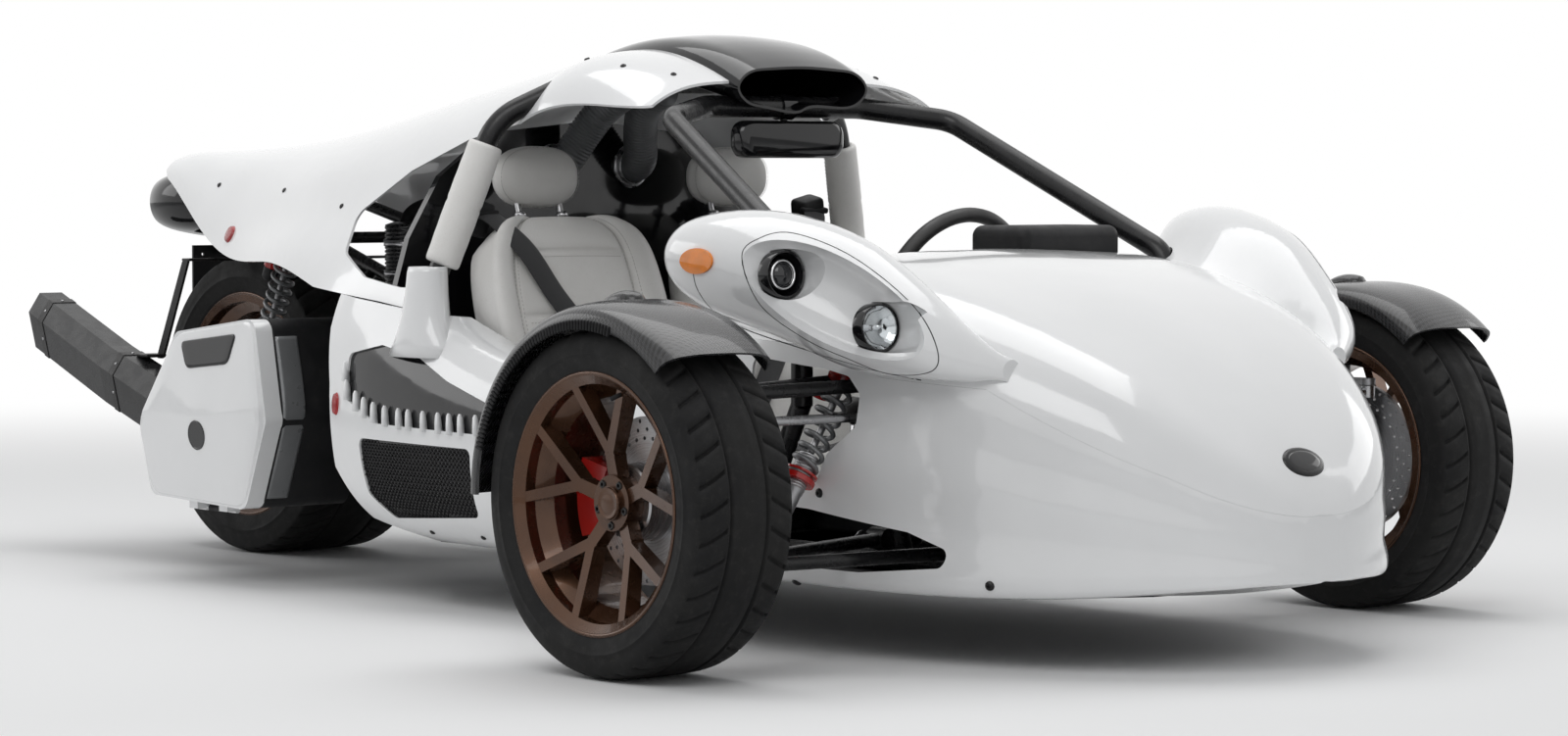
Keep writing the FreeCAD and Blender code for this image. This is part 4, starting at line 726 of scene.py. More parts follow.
# one slice of the ring: each row has a hole, and rows step round by a third of a slice
def drilledWedge():
    look = discLook
    rows, steps = look["rows"], look["steps"]
    span = 2 * pi / look["slices"]
    tall = (look["radius"] - look["inner"]) / rows
    turns = [2 * pi * i / steps for i in range(steps)]
    points, faces = [], []
    for row in range(rows):
        low, first = look["inner"] + row * tall, len(points)

        def spot(u, v, y):
            turn, reach = span * (u + row / rows), low + tall * v
            return Vector((reach * sin(turn), y, reach * cos(turn))) / 1000
        for y in (0, -look["thick"]):
            for turn in turns:
                reach = 0.5 / max(abs(cos(turn)), abs(sin(turn)))
                points.append(spot(0.5 + cos(turn) * reach, 0.5 + sin(turn) * reach, y))
            for turn in turns:
                points.append(spot(0.5 + look["hole"] * cos(turn) / ((low + tall / 2) * span),
                                   0.5 + look["hole"] * sin(turn) / tall, y))
        a, b = first, first + 2 * steps
        for i in range(steps):
            j = (i + 1) % steps
            faces += [(a + i, a + j, a + steps + j, a + steps + i),
                      (b + i, b + steps + i, b + steps + j, b + j),
                      (a + steps + i, a + steps + j, b + steps + j, b + steps + i)]
        # the inner row closes the ring inside and the outer row closes it outside
        for way in [-1] * (row == 0) + [1] * (row == rows - 1):
            edge = [i for i, turn in enumerate(turns)
                    if way * sin(turn) * 1.001 >= max(abs(cos(turn)), 1e-9)]
            faces += [(a + i, a + j, b + j, b + i) for i, j in zip(edge, edge[1:])]
    return meshOf("discWedge", points, faces)


def addDisc(place, side):
    node, look = "disc_" + place, discLook
    low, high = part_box("tyre_" + place)
    centre = (low + high) / 2
    placed = Matrix.Translation(centre) @ Matrix.Scale(side, 4, across)
    wedge = drilledWedge()
    wedge.transform(placed @ Matrix.Translation((0, -look["inset"] / 1000, 0)))
    steel = turnedMetal(node + "Steel", centre, (0.50, 0.50, 0.51), 0.30)
    ring = around("ring", wedge, look["slices"], centre, across, steel)
    near, out = -(look["inset"] + look["thick"]) / 1000, look["face"] / 1000
    inner, hat = look["inner"] / 1000 + 0.0006, look["bell"] / 1000
    bell = turned("bell", [(near + 0.001, 0.0172), (near + 0.001, inner), (near + 0.009, inner),
                           (near + 0.009, hat + 0.004), (out - 0.003, hat), (out, hat - 0.003),
                           (out, 0.0172)], (0, 0, 0), across, 60, caps=False)
    bell.transform(placed)
    obj = piece("drilled_" + node, tidied(joined("disc", [ring, bell])), steel, "wheel_" + place,
                sharp=35)
    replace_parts(obj, node)


addDisc("front_right", -1)
addDisc("front_left", 1)
print("brake discs are drilled")


# --- coil-over units: damper, spring wire, red collars and a reserve bottle

unitLook = {"front": {"low": (0, -612, 197.9), "high": (0, -412, 515), "wire": 0.0046, "turns": 8.0},
            "rear": {"low": (-2170, -234.3, 332), "high": (-1994.8, -231.3, 689.4),
                     "wire": 0.0048, "turns": 9.0},
            "spring": 0.0225, "springFoot": 0.362, "springShare": 0.50,
            # shares of the length, and radii
            "damper": ((0.06, 0.0135), (0.09, 0.019), (0.115, 0.019), (0.12, 0.0165),
                       (0.28, 0.0165), (0.285, 0.018), (0.47, 0.018), (0.475, 0.010),
                       (0.485, 0.0065), (0.90, 0.0065), (0.905, 0.016), (0.95, 0.017),
                       (0.97, 0.012)),
            "seats": (((0.335, 0.019), (0.335, 0.0295), (0.3574, 0.0305), (0.363, 0.028),
                       (0.363, 0.019)),
                      ((0.375, 0.019), (0.375, 0.0295), (0.3846, 0.0305), (0.387, 0.028),
                       (0.387, 0.019)),
                      ((0.86, 0.008), (0.86, 0.0295), (0.872, 0.0305), (0.888, 0.026),
                       (0.90, 0.016), (0.905, 0.008))),
            "eye": ((-0.0125, 0.008), (-0.0125, 0.0135), (-0.0115, 0.0145), (0.0115, 0.0145),
                    (0.0125, 0.0135), (0.0125, 0.008)),
            "sleeve": ((-0.013, 0.0045), (-0.013, 0.0078), (0.013, 0.0078), (0.013, 0.0045)),
            "bottle": ((0, 0.002), (0, 0.014), (0.004, 0.0165), (0.018, 0.017), (0.085, 0.017),
                       (0.10, 0.0155), (0.104, 0.012), (0.104, 0.002)),
            "strap": ((0.03, 0.0172), (0.03, 0.0186), (0.042, 0.0186), (0.042, 0.0172))}


def addUnits(end):
    look, common = unitLook[end], unitLook
    low, high = at(*look["low"]), at(*look["high"])
    axis, tall = (high - low).normalized(), (high - low).length
    profile = [(share * tall, radius) for share, radius in common["damper"]]
    profile = ([(0.012, 0.004), (0.012, 0.0125)] + profile
               + [(tall - 0.012, 0.012), (tall - 0.012, 0.004)])
    threads = []
    for i in range(14):
        for step, radius in ((0, 0.0182), (0.004, 0.0190), (0.008, 0.0182)):
            threads.append(((0.30 + 0.012 * i + step) * tall, radius))
    silver = [joined("damper", [turned("damper", profile, low, axis, 28),
                                turned("threads", threads, low, axis, 28)])]
    eyeAxis = ahead if end == "front" else across
    for spot in (low, high):
        silver += [turned("eye", common["eye"], spot, eyeAxis, 28),
                   turned("sleeve", common["sleeve"], spot, eyeAxis, 20)]
    collars = [turned("collar", [(share * tall, radius) for share, radius in row], low, axis, 32)
               for row in common["seats"]]
    wire = grown("wire", bpy.data.meshes.new("springSeed"), springWire,
                 {"Turns": look["turns"], "Radius": common["spring"],
                  "Height": common["springShare"] * tall, "Wire": look["wire"],
                  "Finish": greyPaint})
    aim = up.rotation_difference(axis).to_matrix().to_4x4()
    wire.transform(Matrix.Translation(low + axis * common["springFoot"] * tall) @ aim)
    away = eyeAxis.cross(axis).normalized()
    away = -ahead if end == "front" else away if away.x < 0 else -away
    start = low + axis * 0.70 * tall + away * 0.047
    strap = turned("strap", common["strap"], start, axis, 24)
    main = piece(end + "Dampers", tidied(bothSides("pair", silver)), castSilver, sharp=40)
    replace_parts(main, "coil_overs_" + end)
    piece(end + "SpringCollars", tidied(bothSides("pair", [joined("collars", collars), strap])),
          redPaint, sharp=40)
    piece(end + "Springs", bothSides("pair", [wire]), greyPaint)
    if end == "rear":
        bottle = turned("bottle", common["bottle"], start, axis, 24)
        piece(end + "Bottles", tidied(bothSides("pair", [bottle])), plasticBlack)


for end in ("front", "rear"):
    addUnits(end)
print("coil-over units are made")


# --- steering bellows, over the ends of the rack housing

bellowsLook = {"start": 296, "end": 455, "folds": 9, "low": 18.5, "high": 27.0, "bore": 14.4,
               "middle": (70, 0, 414), "wave": ((0, "low"), (0.18, "low"), (0.45, "high"),
                                                (0.6, "high"), (0.88, "low"))}


def addBellows(way, side):
    look = bellowsLook
    start, end, folds = look["start"], look["end"], look["folds"]
    profile = []
    for i in range(folds):
        for share, edge in look["wave"]:
            profile.append((start + (end - start) * (i + share) / folds,
                            look[edge] * (1 - 0.14 * i / folds)))
    profile += [(end, 17.0), (end + 9, 17.0), (end + 10, 16.4), (end + 10, look["bore"]),
                (start, look["bore"])]
    rings = [(along / 1000, radius / 1000) for along, radius in profile]
    mesh = turned("bellows", rings, at(*look["middle"]), (0, way, 0), 36, caps=False)
    piece("bellows" + side, mesh, rubberBlack)


addBellows(-1, "Right")
addBellows(1, "Left")
print("bellows are on the rack")


# --- helpers that lay things on the solids

solidTrees = {}


def treeOf(mesh):
    return BVHTree.FromPolygons([v.co for v in mesh.vertices],
                                [tuple(p.vertices) for p in mesh.polygons])


# where a line thrown from a point meets a surface, with the way that it faces there
def metBy(tree, point, way):
    way = Vector(way).normalized()
    spot, facing, _, _ = tree.ray_cast(Vector(point), way)
    if spot is None:
        return None, None
    return spot, (facing if facing.dot(way) < 0 else -facing)


def spotOn(node, point, way):
    if node not in solidTrees:
        solidTrees[node] = treeOf(nodes[node].data)
    return metBy(solidTrees[node], point, way)


# the spot of a solid that the photograph shows at a pixel
def seen(node, px, py):
    turn = Euler((radians(90 + studio["pitch"]), 0, radians(studio["yaw"]))).to_matrix()
    focal = studio["lens"] / 36 * 1600
    return spotOn(node, at(*studio["eye"]), turn @ Vector((px - 800, 375.5 - py, -focal)))


# a smooth line through its points
def through(points, steps=10, closed=False):
    points = [Vector(p) for p in points]
    count = len(points)
    line = []
    for i in range(count if closed else count - 1):
        spots = [i - 1, i, i + 1, i + 2]
        a, b, c, d = (points[k % count if closed else min(max(k, 0), count - 1)] for k in spots)
        for j in range(steps):
            t = j / steps
            line.append(0.5 * (2 * b + (c - a) * t + (2 * a - 5 * b + 4 * c - d) * t * t
                               + (3 * b - a - 3 * c + d) * t ** 3))
    return line if closed else line + [points[-1].copy()]


# a round bead along a line, its rings carried without twist
def bead(name, path, radius, steps=8, closed=False, scale=None):
    count = len(path)
    rings = []
    side = None
    for i, point in enumerate(path):
        after = path[(i + 1) % count] if closed else path[min(i + 1, count - 1)]
        before = path[i - 1] if closed else path[max(i - 1, 0)]
        along = (after - before).normalized()
        side = side or along.orthogonal().normalized()
        side = (side - along * side.dot(along)).normalized()
        reach = radius * (scale(i / (count - 1)) if scale else 1)
        rings.append(circleAt(point, side, along.cross(side), reach, steps))
    if not closed:
        return loft(name, rings)
    # the last ring meets the first where their starts lie nearest
    first = rings[0]
    shift = min(range(steps), key=lambda k: (rings[-1][0] - first[k]).length)
    rings.append(first[shift:] + first[:shift])
    return tidied(loft(name, rings, caps=False), 0.0000001)


def seenBead(name, node, pixels, closed=False, steps=8):
    spots = [seen(node, p.x, p.y) for p in through([(x, y, 0) for x, y in pixels], steps, closed)]
    return bead(name, [spot - facing * 0.0004 for spot, facing in spots if spot], 0.0011, 6, closed)


# a thin crowned plate that follows a solid; reach(turn) gives its edge, to the right and upwards
def patchOn(name, node, middle, right, upward, way, reach, lift, crown=0.0, rings=7, steps=44):
    right, upward, way = (Vector(v).normalized() for v in (right, upward, way))
    rows = []
    for i in range(rings + 1):
        share = i / rings
        edge = min(1.0, (1 - share) * rings / 1.5)
        height = lift * sqrt(1 - (1 - edge) ** 2) + crown * (1 - share * share)
        row = []
        for k in range(steps):
            a, b = reach(2 * pi * k / steps)
            start = Vector(middle) + (right * a + upward * b) * share - way * 0.2
            spot, facing = spotOn(node, start, way)
            row.append((spot or start + way * 0.2, facing or -way, height))
        rows.append(row)
    base = [[spot - facing * 0.0015 for spot, facing, _ in row] for row in (rows[-1], rows[0])]
    tops = [[spot + facing * height for spot, facing, height in row] for row in rows]
    return tidied(loft(name, tops + base, caps=False), 0.00002)


# a value raised to a power, with its sign kept
def bent(value, power):
    return copysign(abs(value) ** (2 / power), value)


def oval(a, b, power=2.0):
    return lambda turn: (bent(cos(turn), power) * a / 1000, bent(sin(turn), power) * b / 1000)


def roundedRing(ring, corner, steps=5):
    made = []
    ring = [Vector(p) for p in ring]
    for i, here in enumerate(ring):
        before, after = ring[i - 1], ring[(i + 1) % len(ring)]
        reach = min(corner, (before - here).length * 0.45, (after - here).length * 0.45)
        come = here + (before - here).normalized() * reach
        leave = here + (after - here).normalized() * reach
        for t in (k / steps for k in range(steps + 1)):
            made.append(come * (1 - t) ** 2 + here * 2 * t * (1 - t) + leave * t * t)
    return made


# a plate with softened edges between two Y planes; its ring is in (x, z) millimetres
def sidePlate(name, ring, yFrom, yTo, corner=8, soft=1.5):
    flat = roundedRing(ring, corner)
    middle = sum(flat, Vector((0, 0))) / len(flat)
    way = soft if yTo > yFrom else -soft
    rings = []
    for inset, y in ((soft, yFrom), (0, yFrom + way), (0, yTo - way), (0.3 * soft, yTo - 0.3 * way),
                     (soft, yTo)):
        points = [p - (p - middle).normalized() * inset for p in flat]
        rings.append([at(p.x, y, p.y) for p in points])
    return loft(name, rings)


# --- lamps in the nose pods: black buckets, a dark projector above and a bright reflector below

lampLook = {"places": ((26, -600, 656), (187, -531, 570)), "aim": (1, -0.05, 0.05),
            "bezel": ((757, 262), (775, 243), (810, 238), (870, 262), (930, 310), (955, 352),
                      (952, 378), (910, 382), (865, 366), (820, 345), (775, 310)),
            "bucket": ((-0.0132, 0.0), (-0.0132, 0.0405), (0.010, 0.0405), (0.012, 0.039),
                       (0.011, 0.0365), (-0.002, 0.035), (-0.0110, 0.0285), (-0.0112, 0.0)),
            "collar": ((-0.0105, 0.0215), (0.0035, 0.0215), (0.006, 0.0235), (0.0035, 0.0265),
                       (-0.0105, 0.0285)),
            "projector": ((-0.009, 0.0), (-0.009, 0.0213), (0.0025, 0.0213), (0.0065, 0.0185),
                          (0.0105, 0.0125), (0.0125, 0.006), (0.013, 0.0)),
            "reflector": ((-0.0105, 0.0), (-0.0105, 0.0065), (-0.0095, 0.0135), (-0.0065, 0.0225),
                          (-0.0015, 0.0300), (0.0055, 0.0345), (0.0065, 0.0362),
                          (0.0045, 0.0362), (-0.0035, 0.0325), (-0.0125, 0.0120),
                          (-0.0125, 0.0)),
            "bulbShield": ((-0.0105, 0.0), (-0.0105, 0.0045), (0.001, 0.0045), (0.0035, 0.0032),
                           (0.004, 0.0)),
            "glass": ((0.0075, 0.037), (0.0105, 0.036), (0.0135, 0.028), (0.0165, 0.015),
                      (0.0175, 0.0), (0.0153, 0.0), (0.0143, 0.0148), (0.0115, 0.027),
                      (0.0085, 0.035))}


def addLamps():
    upper, lower = (at(*p) for p in lampLook["places"])

    def part(name, place, steps):
        return closedTurn(name, lampLook[name], place, lampLook["aim"], steps)
    obj = mirroredPiece("lampBuckets", [part("bucket", upper, 44), part("bucket", lower, 44)],
                        pianoBlack, sharp=40)
    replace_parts(obj, "headlamps")
    bright = [part("collar", upper, 40), part("reflector", lower, 48),
              part("bulbShield", lower, 20)]
    mirroredPiece("lampReflectors", bright, mirrorChrome)
    mirroredPiece("lampProjectors", [part("projector", upper, 40)], smokedGlass)
    mirroredPiece("lampGlasses", [part("glass", lower, 44)], lampGlass)
    mirroredPiece("lampBezelLines", [seenBead("bezel", "nose_hood", lampLook["bezel"], True, 10)],
                  plasticBlack)


addLamps()
print("lamps are in the pods")


# --- nose: bare oval, parting lines, screws

noseLook = {"oval": (654, 0, 349), "ovalSize": (47, 27), "ovalTilt": (0.50, 0, 0.87),
            "podLine": ((706, 262), (712, 296), (740, 326), (800, 350), (889, 377), (940, 388)),
            "screws": ((836, 503), (813, 594), (905, 560), (1010, 598))}


def addNoseTrim():
    tilt = Vector(noseLook["ovalTilt"]).normalized()
    rise = tilt.cross(across).normalized()
    a, b = noseLook["ovalSize"]
    for name, inset, lift, crown, material in (("Rim", 0, 0.0032, 0.0, frameBlack),
                                               ("Face", 6, 0.0036, 0.0012, pianoBlack)):
        patch = patchOn("oval", "nose_hood", at(*noseLook["oval"]), across, rise, -tilt,
                        oval(a - inset, b - inset), lift, crown)
        piece("noseOval" + name, patch, material)
    mirroredPiece("podPartingLines", [seenBead("podLine", "nose_hood", noseLook["podLine"])],
                  plasticBlack)


addNoseTrim()


# a button-headed screw with its driving recess, about Z, standing on the surface
def screwMesh(radius=0.006, tall=0.0028, sides=12):
    rings = [circleAt(up * height, ahead, across, radius * share, sides)
             for height, share in ((-0.001, 1.0), (0.0, 1.0), (tall * 0.55, 0.92), (tall, 0.62),
                                   (tall, 0.40))]
    for height, share in ((tall, 0.40), (tall * 0.3, 0.38)):
        # the recess is six-sided
        turns = [2 * pi * round(k / 2) / (sides / 2) for k in range(sides)]
        rings.append([Vector((radius * share * cos(turn), radius * share * sin(turn), height))
                      for turn in turns])
    return tidied(loft("screw", rings), 0.00001)


# a hexagon nut or bolt head on a washer, about Z
def hexHead(radius=0.008, tall=0.006, washer=1.35):
    rings = [circleAt(up * height, ahead, across, radius * washer, 12)
             for height in (-0.001, 0.0012)]
    corners = [(radius * (cos(pi / 6) if k % 2 else 1), pi * k / 6) for k in range(12)]
    for height, share in ((0.0012, 1.0), (tall * 0.85, 1.0), (tall, 0.86), (tall, 0.5),
                          (tall * 0.7, 0.45)):
        rings.append([Vector((reach * cos(turn) * share, reach * sin(turn) * share, height))
                      for reach, turn in corners])
    return tidied(loft("hexHead", rings), 0.00001)


smallScrew = screwMesh()
bigScrew = screwMesh(0.0085, 0.004, 14)
boltHead = hexHead()
bigBolt = hexHead(0.0115, 0.009, 1.3)


# places given on the near side, and the same on the far side
def mirroredPlaces(places):
    return places + [tuple(flipped(part) for part in place) for place in places]


# screws at spots of a solid, each given with the way that the solid faces there
def addScrews(name, spots, mesh):
    places = [(spot, facing, facing.orthogonal().normalized()) for spot, facing in spots if spot]
    scatterPiece(name, mesh, mirroredPlaces(places), blackSteel)


addScrews("noseScrews", [seen("nose_lower", *pixel) for pixel in noseLook["screws"]], bigScrew)
print("nose trim is on")

# --- seats: stuffed panels with bolsters, sunk seams and stitches

shellRing = ((-560, 165), (-980, 165), (-1078, 500), (-1044, 515), (-975, 260), (-940, 190),
             (-585, 190))
seatLook = {"middle": 240, "half": 211, "seam": 0.70, "stitchPitch": 0.0072,
            "cushion": {"spine": ((-528, 232), (-545, 262), (-610, 275), (-720, 268), (-810, 262),
                                  (-880, 262)),
                        "thick": 88, "bolster": 30, "taper": 0.04, "length": 0.36,
                        "channels": (0.22, 0.46, 0.70)},
            "back": {"spine": ((-905, 250), (-925, 345), (-968, 480), (-1008, 600), (-1040, 700),
                               (-1070, 741)),
                     "thick": 82, "bolster": 26, "taper": 0.56, "length": 0.50,
                     "channels": (0.30, 0.52, 0.74)},
            # plates of the shell behind the panels: ring, sides from the seat's middle, corner
            "shell": ((shellRing, -206, -198, 14), (shellRing, 206, 198, 14),
                      ([(-975, 168), (-990, 168), (-1116, 640), (-1100, 644)], -150, 150, 4),
                      ([(-560, 164), (-975, 164), (-975, 176), (-560, 176)], -190, 190, 3))}
stitchShape = softBox("stitch", (0, 0, 0.0002), (0.0046, 0.0011, 0.0008), 0.0003, 1)


def addStitches(name, places, body="car"):
    scatterPiece(name, stitchShape, places, threadGrey, body, smooth=True)


# a hump of height 1 about the middle
def hump(value, middle, width):
    return exp(-((value - middle) / width) ** 2)


# place(u, v) gives the point of the panel's upper face, the way it faces and how far it is from
# being drawn in at the ends; u crosses the panel and v runs along it
def panelSurface(look, middle):
    spine = through([at(x, middle, z) for x, z in look["spine"]], 12)
    seam = seatLook["seam"]

    def place(u, v):
        spot = min(v, 0.9999) * (len(spine) - 1)
        low, side = int(spot), abs(u)
        centre = spine[low].lerp(spine[low + 1], spot - low)
        along = (spine[low + 1] - spine[low]).normalized()
        facing = Vector((along.z, 0, -along.x))
        narrow = 1 - look["taper"] * max(0, (v - 0.45) / 0.55) ** 3
        wide = seatLook["half"] * (1 - 0.025 * sin(pi * v)) * narrow / 1000
        edge = (1 - abs(2 * v - 1) ** 9) ** 0.5
        if side < seam:
            rise = 9 * (1 - (u / seam) ** 2)
            for channel in look["channels"]:
                rise -= 5.5 * hump(v, channel, 0.010) * (1 - (side / seam) ** 8)
                rise += 2.5 * (1 - (side / seam) ** 2) * hump(v, channel + 0.06, 0.05)
        else:
            rise = look["bolster"] * sin(pi * (side - seam) / (1 - seam) * 0.80) ** 0.8
            rise *= 1 - 0.35 * v
        rise -= 6 * hump(side, seam, 0.014)
        return centre + across * u * wide + facing * rise * edge / 1000, facing, edge
    return place


def stuffedPanel(look, place):
    seam = seatLook["seam"]
    crossing = [round(-0.985 + 1.97 * i / 28, 4) for i in range(29)]
    crossing += [s * (seam + d) for s in (-1, 1) for d in (-0.03, -0.014, 0, 0.014, 0.03)]
    running = [0.004, 0.012, 0.988, 0.996] + [0.025 + 0.95 * i / 34 for i in range(35)]
    running += [c + d for c in look["channels"] for d in (-0.016, -0.008, 0, 0.008, 0.016)]
    down = (0.10, 0.28, 0.5, 0.72, 0.90)
    rings = []
    for v in sorted(set(running)):
        ring = [place(u, v)[0] for u in sorted(set(crossing))]
        left, facing, edge = place(-0.985, v)
        right = place(0.985, v)[0]
        deep = facing * look["thick"] / 1000 * (0.35 + 0.65 * edge)
        bulge = across * 0.010 * edge
        ring += [right - deep * share + bulge * sin(pi * share) for share in down]
        ring += [(right - deep).lerp(left - deep, i / 6) for i in range(7)]
        ring += [left - deep * share - bulge * sin(pi * share) for share in reversed(down)]
        rings.append(ring)
    return loft("panel", rings)


# stitches along the seams, and across along the channels
def panelStitches(look, place):
    spots = []
    count = int(look["length"] / seatLook["stitchPitch"])
    for u in (s * seatLook["seam"] + d for s in (-1, 1) for d in (-0.035, 0.035)):
        for i in range(count):
            v = 0.06 + 0.89 * (i + 0.5) / count
            here, facing, _ = place(u, v)
            heading = (place(u, v + 0.004)[0] - here).normalized()
            normal = (place(u + 0.01, v)[0] - here).cross(heading).normalized()
            spots.append((here, normal if normal.dot(facing) > 0 else -normal, heading))
    for channel in look["channels"]:
        for i in range(34):
            u = -0.62 + 1.24 * (i + 0.5) / 34
            here, facing, _ = place(u, channel - 0.022)
            heading = (place(u + 0.01, channel - 0.022)[0] - here).normalized()
            spots.append((here, facing, heading))
    return spots


def addSeats():
    stitches, shell = [], []
    for way, side in ((-1, "Right"), (1, "Left")):
        middle = way * seatLook["middle"]
        for part in ("cushion", "back"):
            look = seatLook[part]
            place = panelSurface(look, middle)
            obj = piece("seat" + part.capitalize() + side, stuffedPanel(look, place), whiteLeather)
            if part + side == "cushionRight":
                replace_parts(obj, "seats")
            stitches += panelStitches(look, place)
        for ring, yFrom, yTo, corner in seatLook["shell"]:
            shell.append(sidePlate("shell", ring, middle + yFrom, middle + yTo, corner))
    addStitches("seatStitches", stitches)
    joinedPiece("seatShells", shell, plasticBlack, sharp=40)


addSeats()
print("seats are stuffed and stitched")


# --- headrests on posts

headrestLook = {"middle": (-1142, 240, 818), "half": (36, 97, 60), "power": 2.45, "stitches": 78,
                "rows": 26, "steps": 56, "seam": 0.32, "postGap": 50,
                "post": ((-1108, 690), (-1126, 742), (-1140, 790)),
                "collar": ((-0.004, 0.0066), (-0.004, 0.0125), (0.006, 0.0115), (0.008, 0.0095),
                           (0.008, 0.0066))}


def roundedPad(name, centre):
    look = headrestLook
    half, power, rows, steps = look["half"], look["power"], look["rows"], look["steps"]
    rings = []
    for i in range(rows + 1):
        rise = (-pi / 2 + pi * i / rows) * (0.985 if i in (0, rows) else 1)
        z = bent(sin(rise), power)
        ring = []
        for k in range(steps):
            turn = 2 * pi * k / steps
            x, y = (bent(cos(rise), power) * bent(part, power) for part in (cos(turn), sin(turn)))
            # the edge of the front and back faces is sewn in
            pull = 1 - 0.035 * (hump(x, look["seam"], 0.05) + hump(x, -look["seam"], 0.05))
            crown = 1 + 0.07 * (1 - y * y) * (1 - z * z)
            ring.append(centre + Vector((x * half[0] * crown, y * half[1] * pull,
                                         z * half[2] * pull)) / 1000)
        rings.append(ring)
    return loft(name, rings)


def addHeadrests():
    look = headrestLook
    x, y, z = look["middle"]
    deep, wide, tall = look["half"]
    posts, stitches = [], []
    for way, side in ((-1, "Right"), (1, "Left")):
        centre = at(x, way * y, z)
        obj = piece("headrest" + side, roundedPad("headrest", centre), whiteLeather)
        if way < 0:
            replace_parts(obj, "headrests")
        for k in range(look["stitches"]):
            turn = 2 * pi * k / look["stitches"]
            spot = Vector((0.46 * deep, bent(cos(turn), look["power"]) * wide * 0.955,
                           bent(sin(turn), look["power"]) * tall * 0.945)) / 1000
            facing = Vector((0.35, spot.y / wide * 1000, spot.z / tall * 1000)).normalized()
            stitches.append((centre + spot + facing * 0.0008, facing,
                             facing.cross(ahead).normalized()))
        for beside in (way * y - look["postGap"], way * y + look["postGap"]):
            posts += [tubeAlong("post", [at(px, beside, pz) for px, pz in look["post"]], 0.0065,
                                14, 16),
                      closedTurn("collar", look["collar"], at(-1122, beside, 742),
                                 (-0.3, 0, 0.95), 20)]
    joinedPiece("headrestPosts", posts, brushedSteel)
    addStitches("headrestStitches", stitches)


addHeadrests()


# --- sleeves on the main hoop, and the boots at its feet

padLook = {"low": (-1074.1, 511.8, 652.3), "high": (-1026.5, 441.1, 881.2), "radius": 0.033,
           "bore": 0.021, "end": ((0.0005, 0.0275), (0.0025, 0.0315), (0.007, 0.033)),
           "bootSteps": 40, "bootWall": 0.003,
           "boot": ((-1076, -541, 650, 37, 37), (-1077, -542, 640, 38.5, 38.5),
                    (-1078, -543, 600, 42, 41), (-1079, -545, 560, 50, 44),
                    (-1080, -547, 530, 62, 46), (-1082, -548, 505, 78, 46),
                    (-1085, -548, 480, 92, 44))}


def addHoopDress():
    look = padLook
    x0, y0, z0 = look["low"]
    x1, y1, z1 = look["high"]
    r, bore = look["radius"], look["bore"]
    stitches = []
    for way, side in ((-1, "Right"), (1, "Left")):
        low, high = at(x0, way * y0, z0), at(x1, way * y1, z1)
        axis, tall = (high - low).normalized(), (high - low).length
        profile = [(0.0, bore)] + list(look["end"])
        for share in (i / 30 for i in range(1, 30)):
            swell = 0.0011 * sin(pi * share) + 0.0002 * sin(share * 40)
            profile.append((0.007 + (tall - 0.014) * share,
                            r + swell - 0.0016 * hump(share, 0.5, 0.008)))
        profile += [(tall - along, radius) for along, radius in reversed(look["end"])]
        mesh = closedTurn("hoopPad", profile + [(tall, bore)], low, axis, 40)
        obj = piece("hoopPad" + side, mesh, whiteLeather)
        if way < 0:
            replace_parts(obj, "hoop_pads")
        # lacing seam down the inner rear side
        inward = Vector((-0.35, -way, 0))
        inward = (inward - axis * inward.dot(axis)).normalized()
        count = int(tall / 0.0075)
        for i in range(2, count - 2):
            for lean in (-0.12, 0.12):
                away = (inward + axis.cross(inward) * lean).normalized()
                spot = low + axis * (tall * i / count) + away * (r + 0.0012)
                stitches.append((spot, away, axis))
    addStitches("hoopPadStitches", stitches)
    outer, inner = [], []
    for x, y, z, wide, deep in look["boot"]:
        turns = [2 * pi * k / look["bootSteps"] for k in range(look["bootSteps"])]
        ring = [at(x + wide * cos(turn), y + deep * sin(turn), z) for turn in turns]
        outer.append(ring)
        inner.append([p + (at(x, y, z) - p).normalized() * look["bootWall"] for p in ring])
    boot = loft("boot", outer + inner[::-1], round=True)
    mirroredPiece("hoopBoots", [boot], whitePaint)


addHoopDress()
print("headrests, sleeves and boots are on")


# --- belts: a shoulder strap, a lap strap, a reel and a buckle for each seat

# each mark of a strap is a place in millimetres and the way that the strap faces there
beltLook = {"width": 0.047, "thick": 0.0022, "shoulder": (((-1092, -430, 756), (0.75, -0.25, 0.6)),
                                                          ((-1062, -405, 742), (0.7, 0, 0.7)),
                                                          ((-1014, -358, 680), (0.95, 0, 0.3)),
                                                          ((-986, -300, 585), (0.95, 0, 0.3)),
                                                          ((-952, -220, 480), (0.95, 0, 0.3)),
                                                          ((-914, -130, 372), (0.95, 0.1, 0.3)),
                                                          ((-892, -66, 312), (0.85, 0.3, 0.4))),
            "lap": (((-888, -58, 306), (0.5, 0.2, 0.85)), ((-868, -110, 300), (0.3, 0, 0.95)),
                    ((-852, -200, 286), (0.2, 0, 1)), ((-850, -300, 288), (0.2, 0, 1)),
                    ((-862, -392, 316), (0.25, -0.15, 0.95)), ((-878, -440, 300), (0.4, -0.8, 0.3)),
                    ((-890, -458, 240), (0.3, -0.95, 0))),
            "section": ((-1, 0), (-0.9, 0.5), (0, 0.62), (0.9, 0.5), (1, 0), (0.9, -0.5), (0, -0.4),
                        (-0.9, -0.5))}


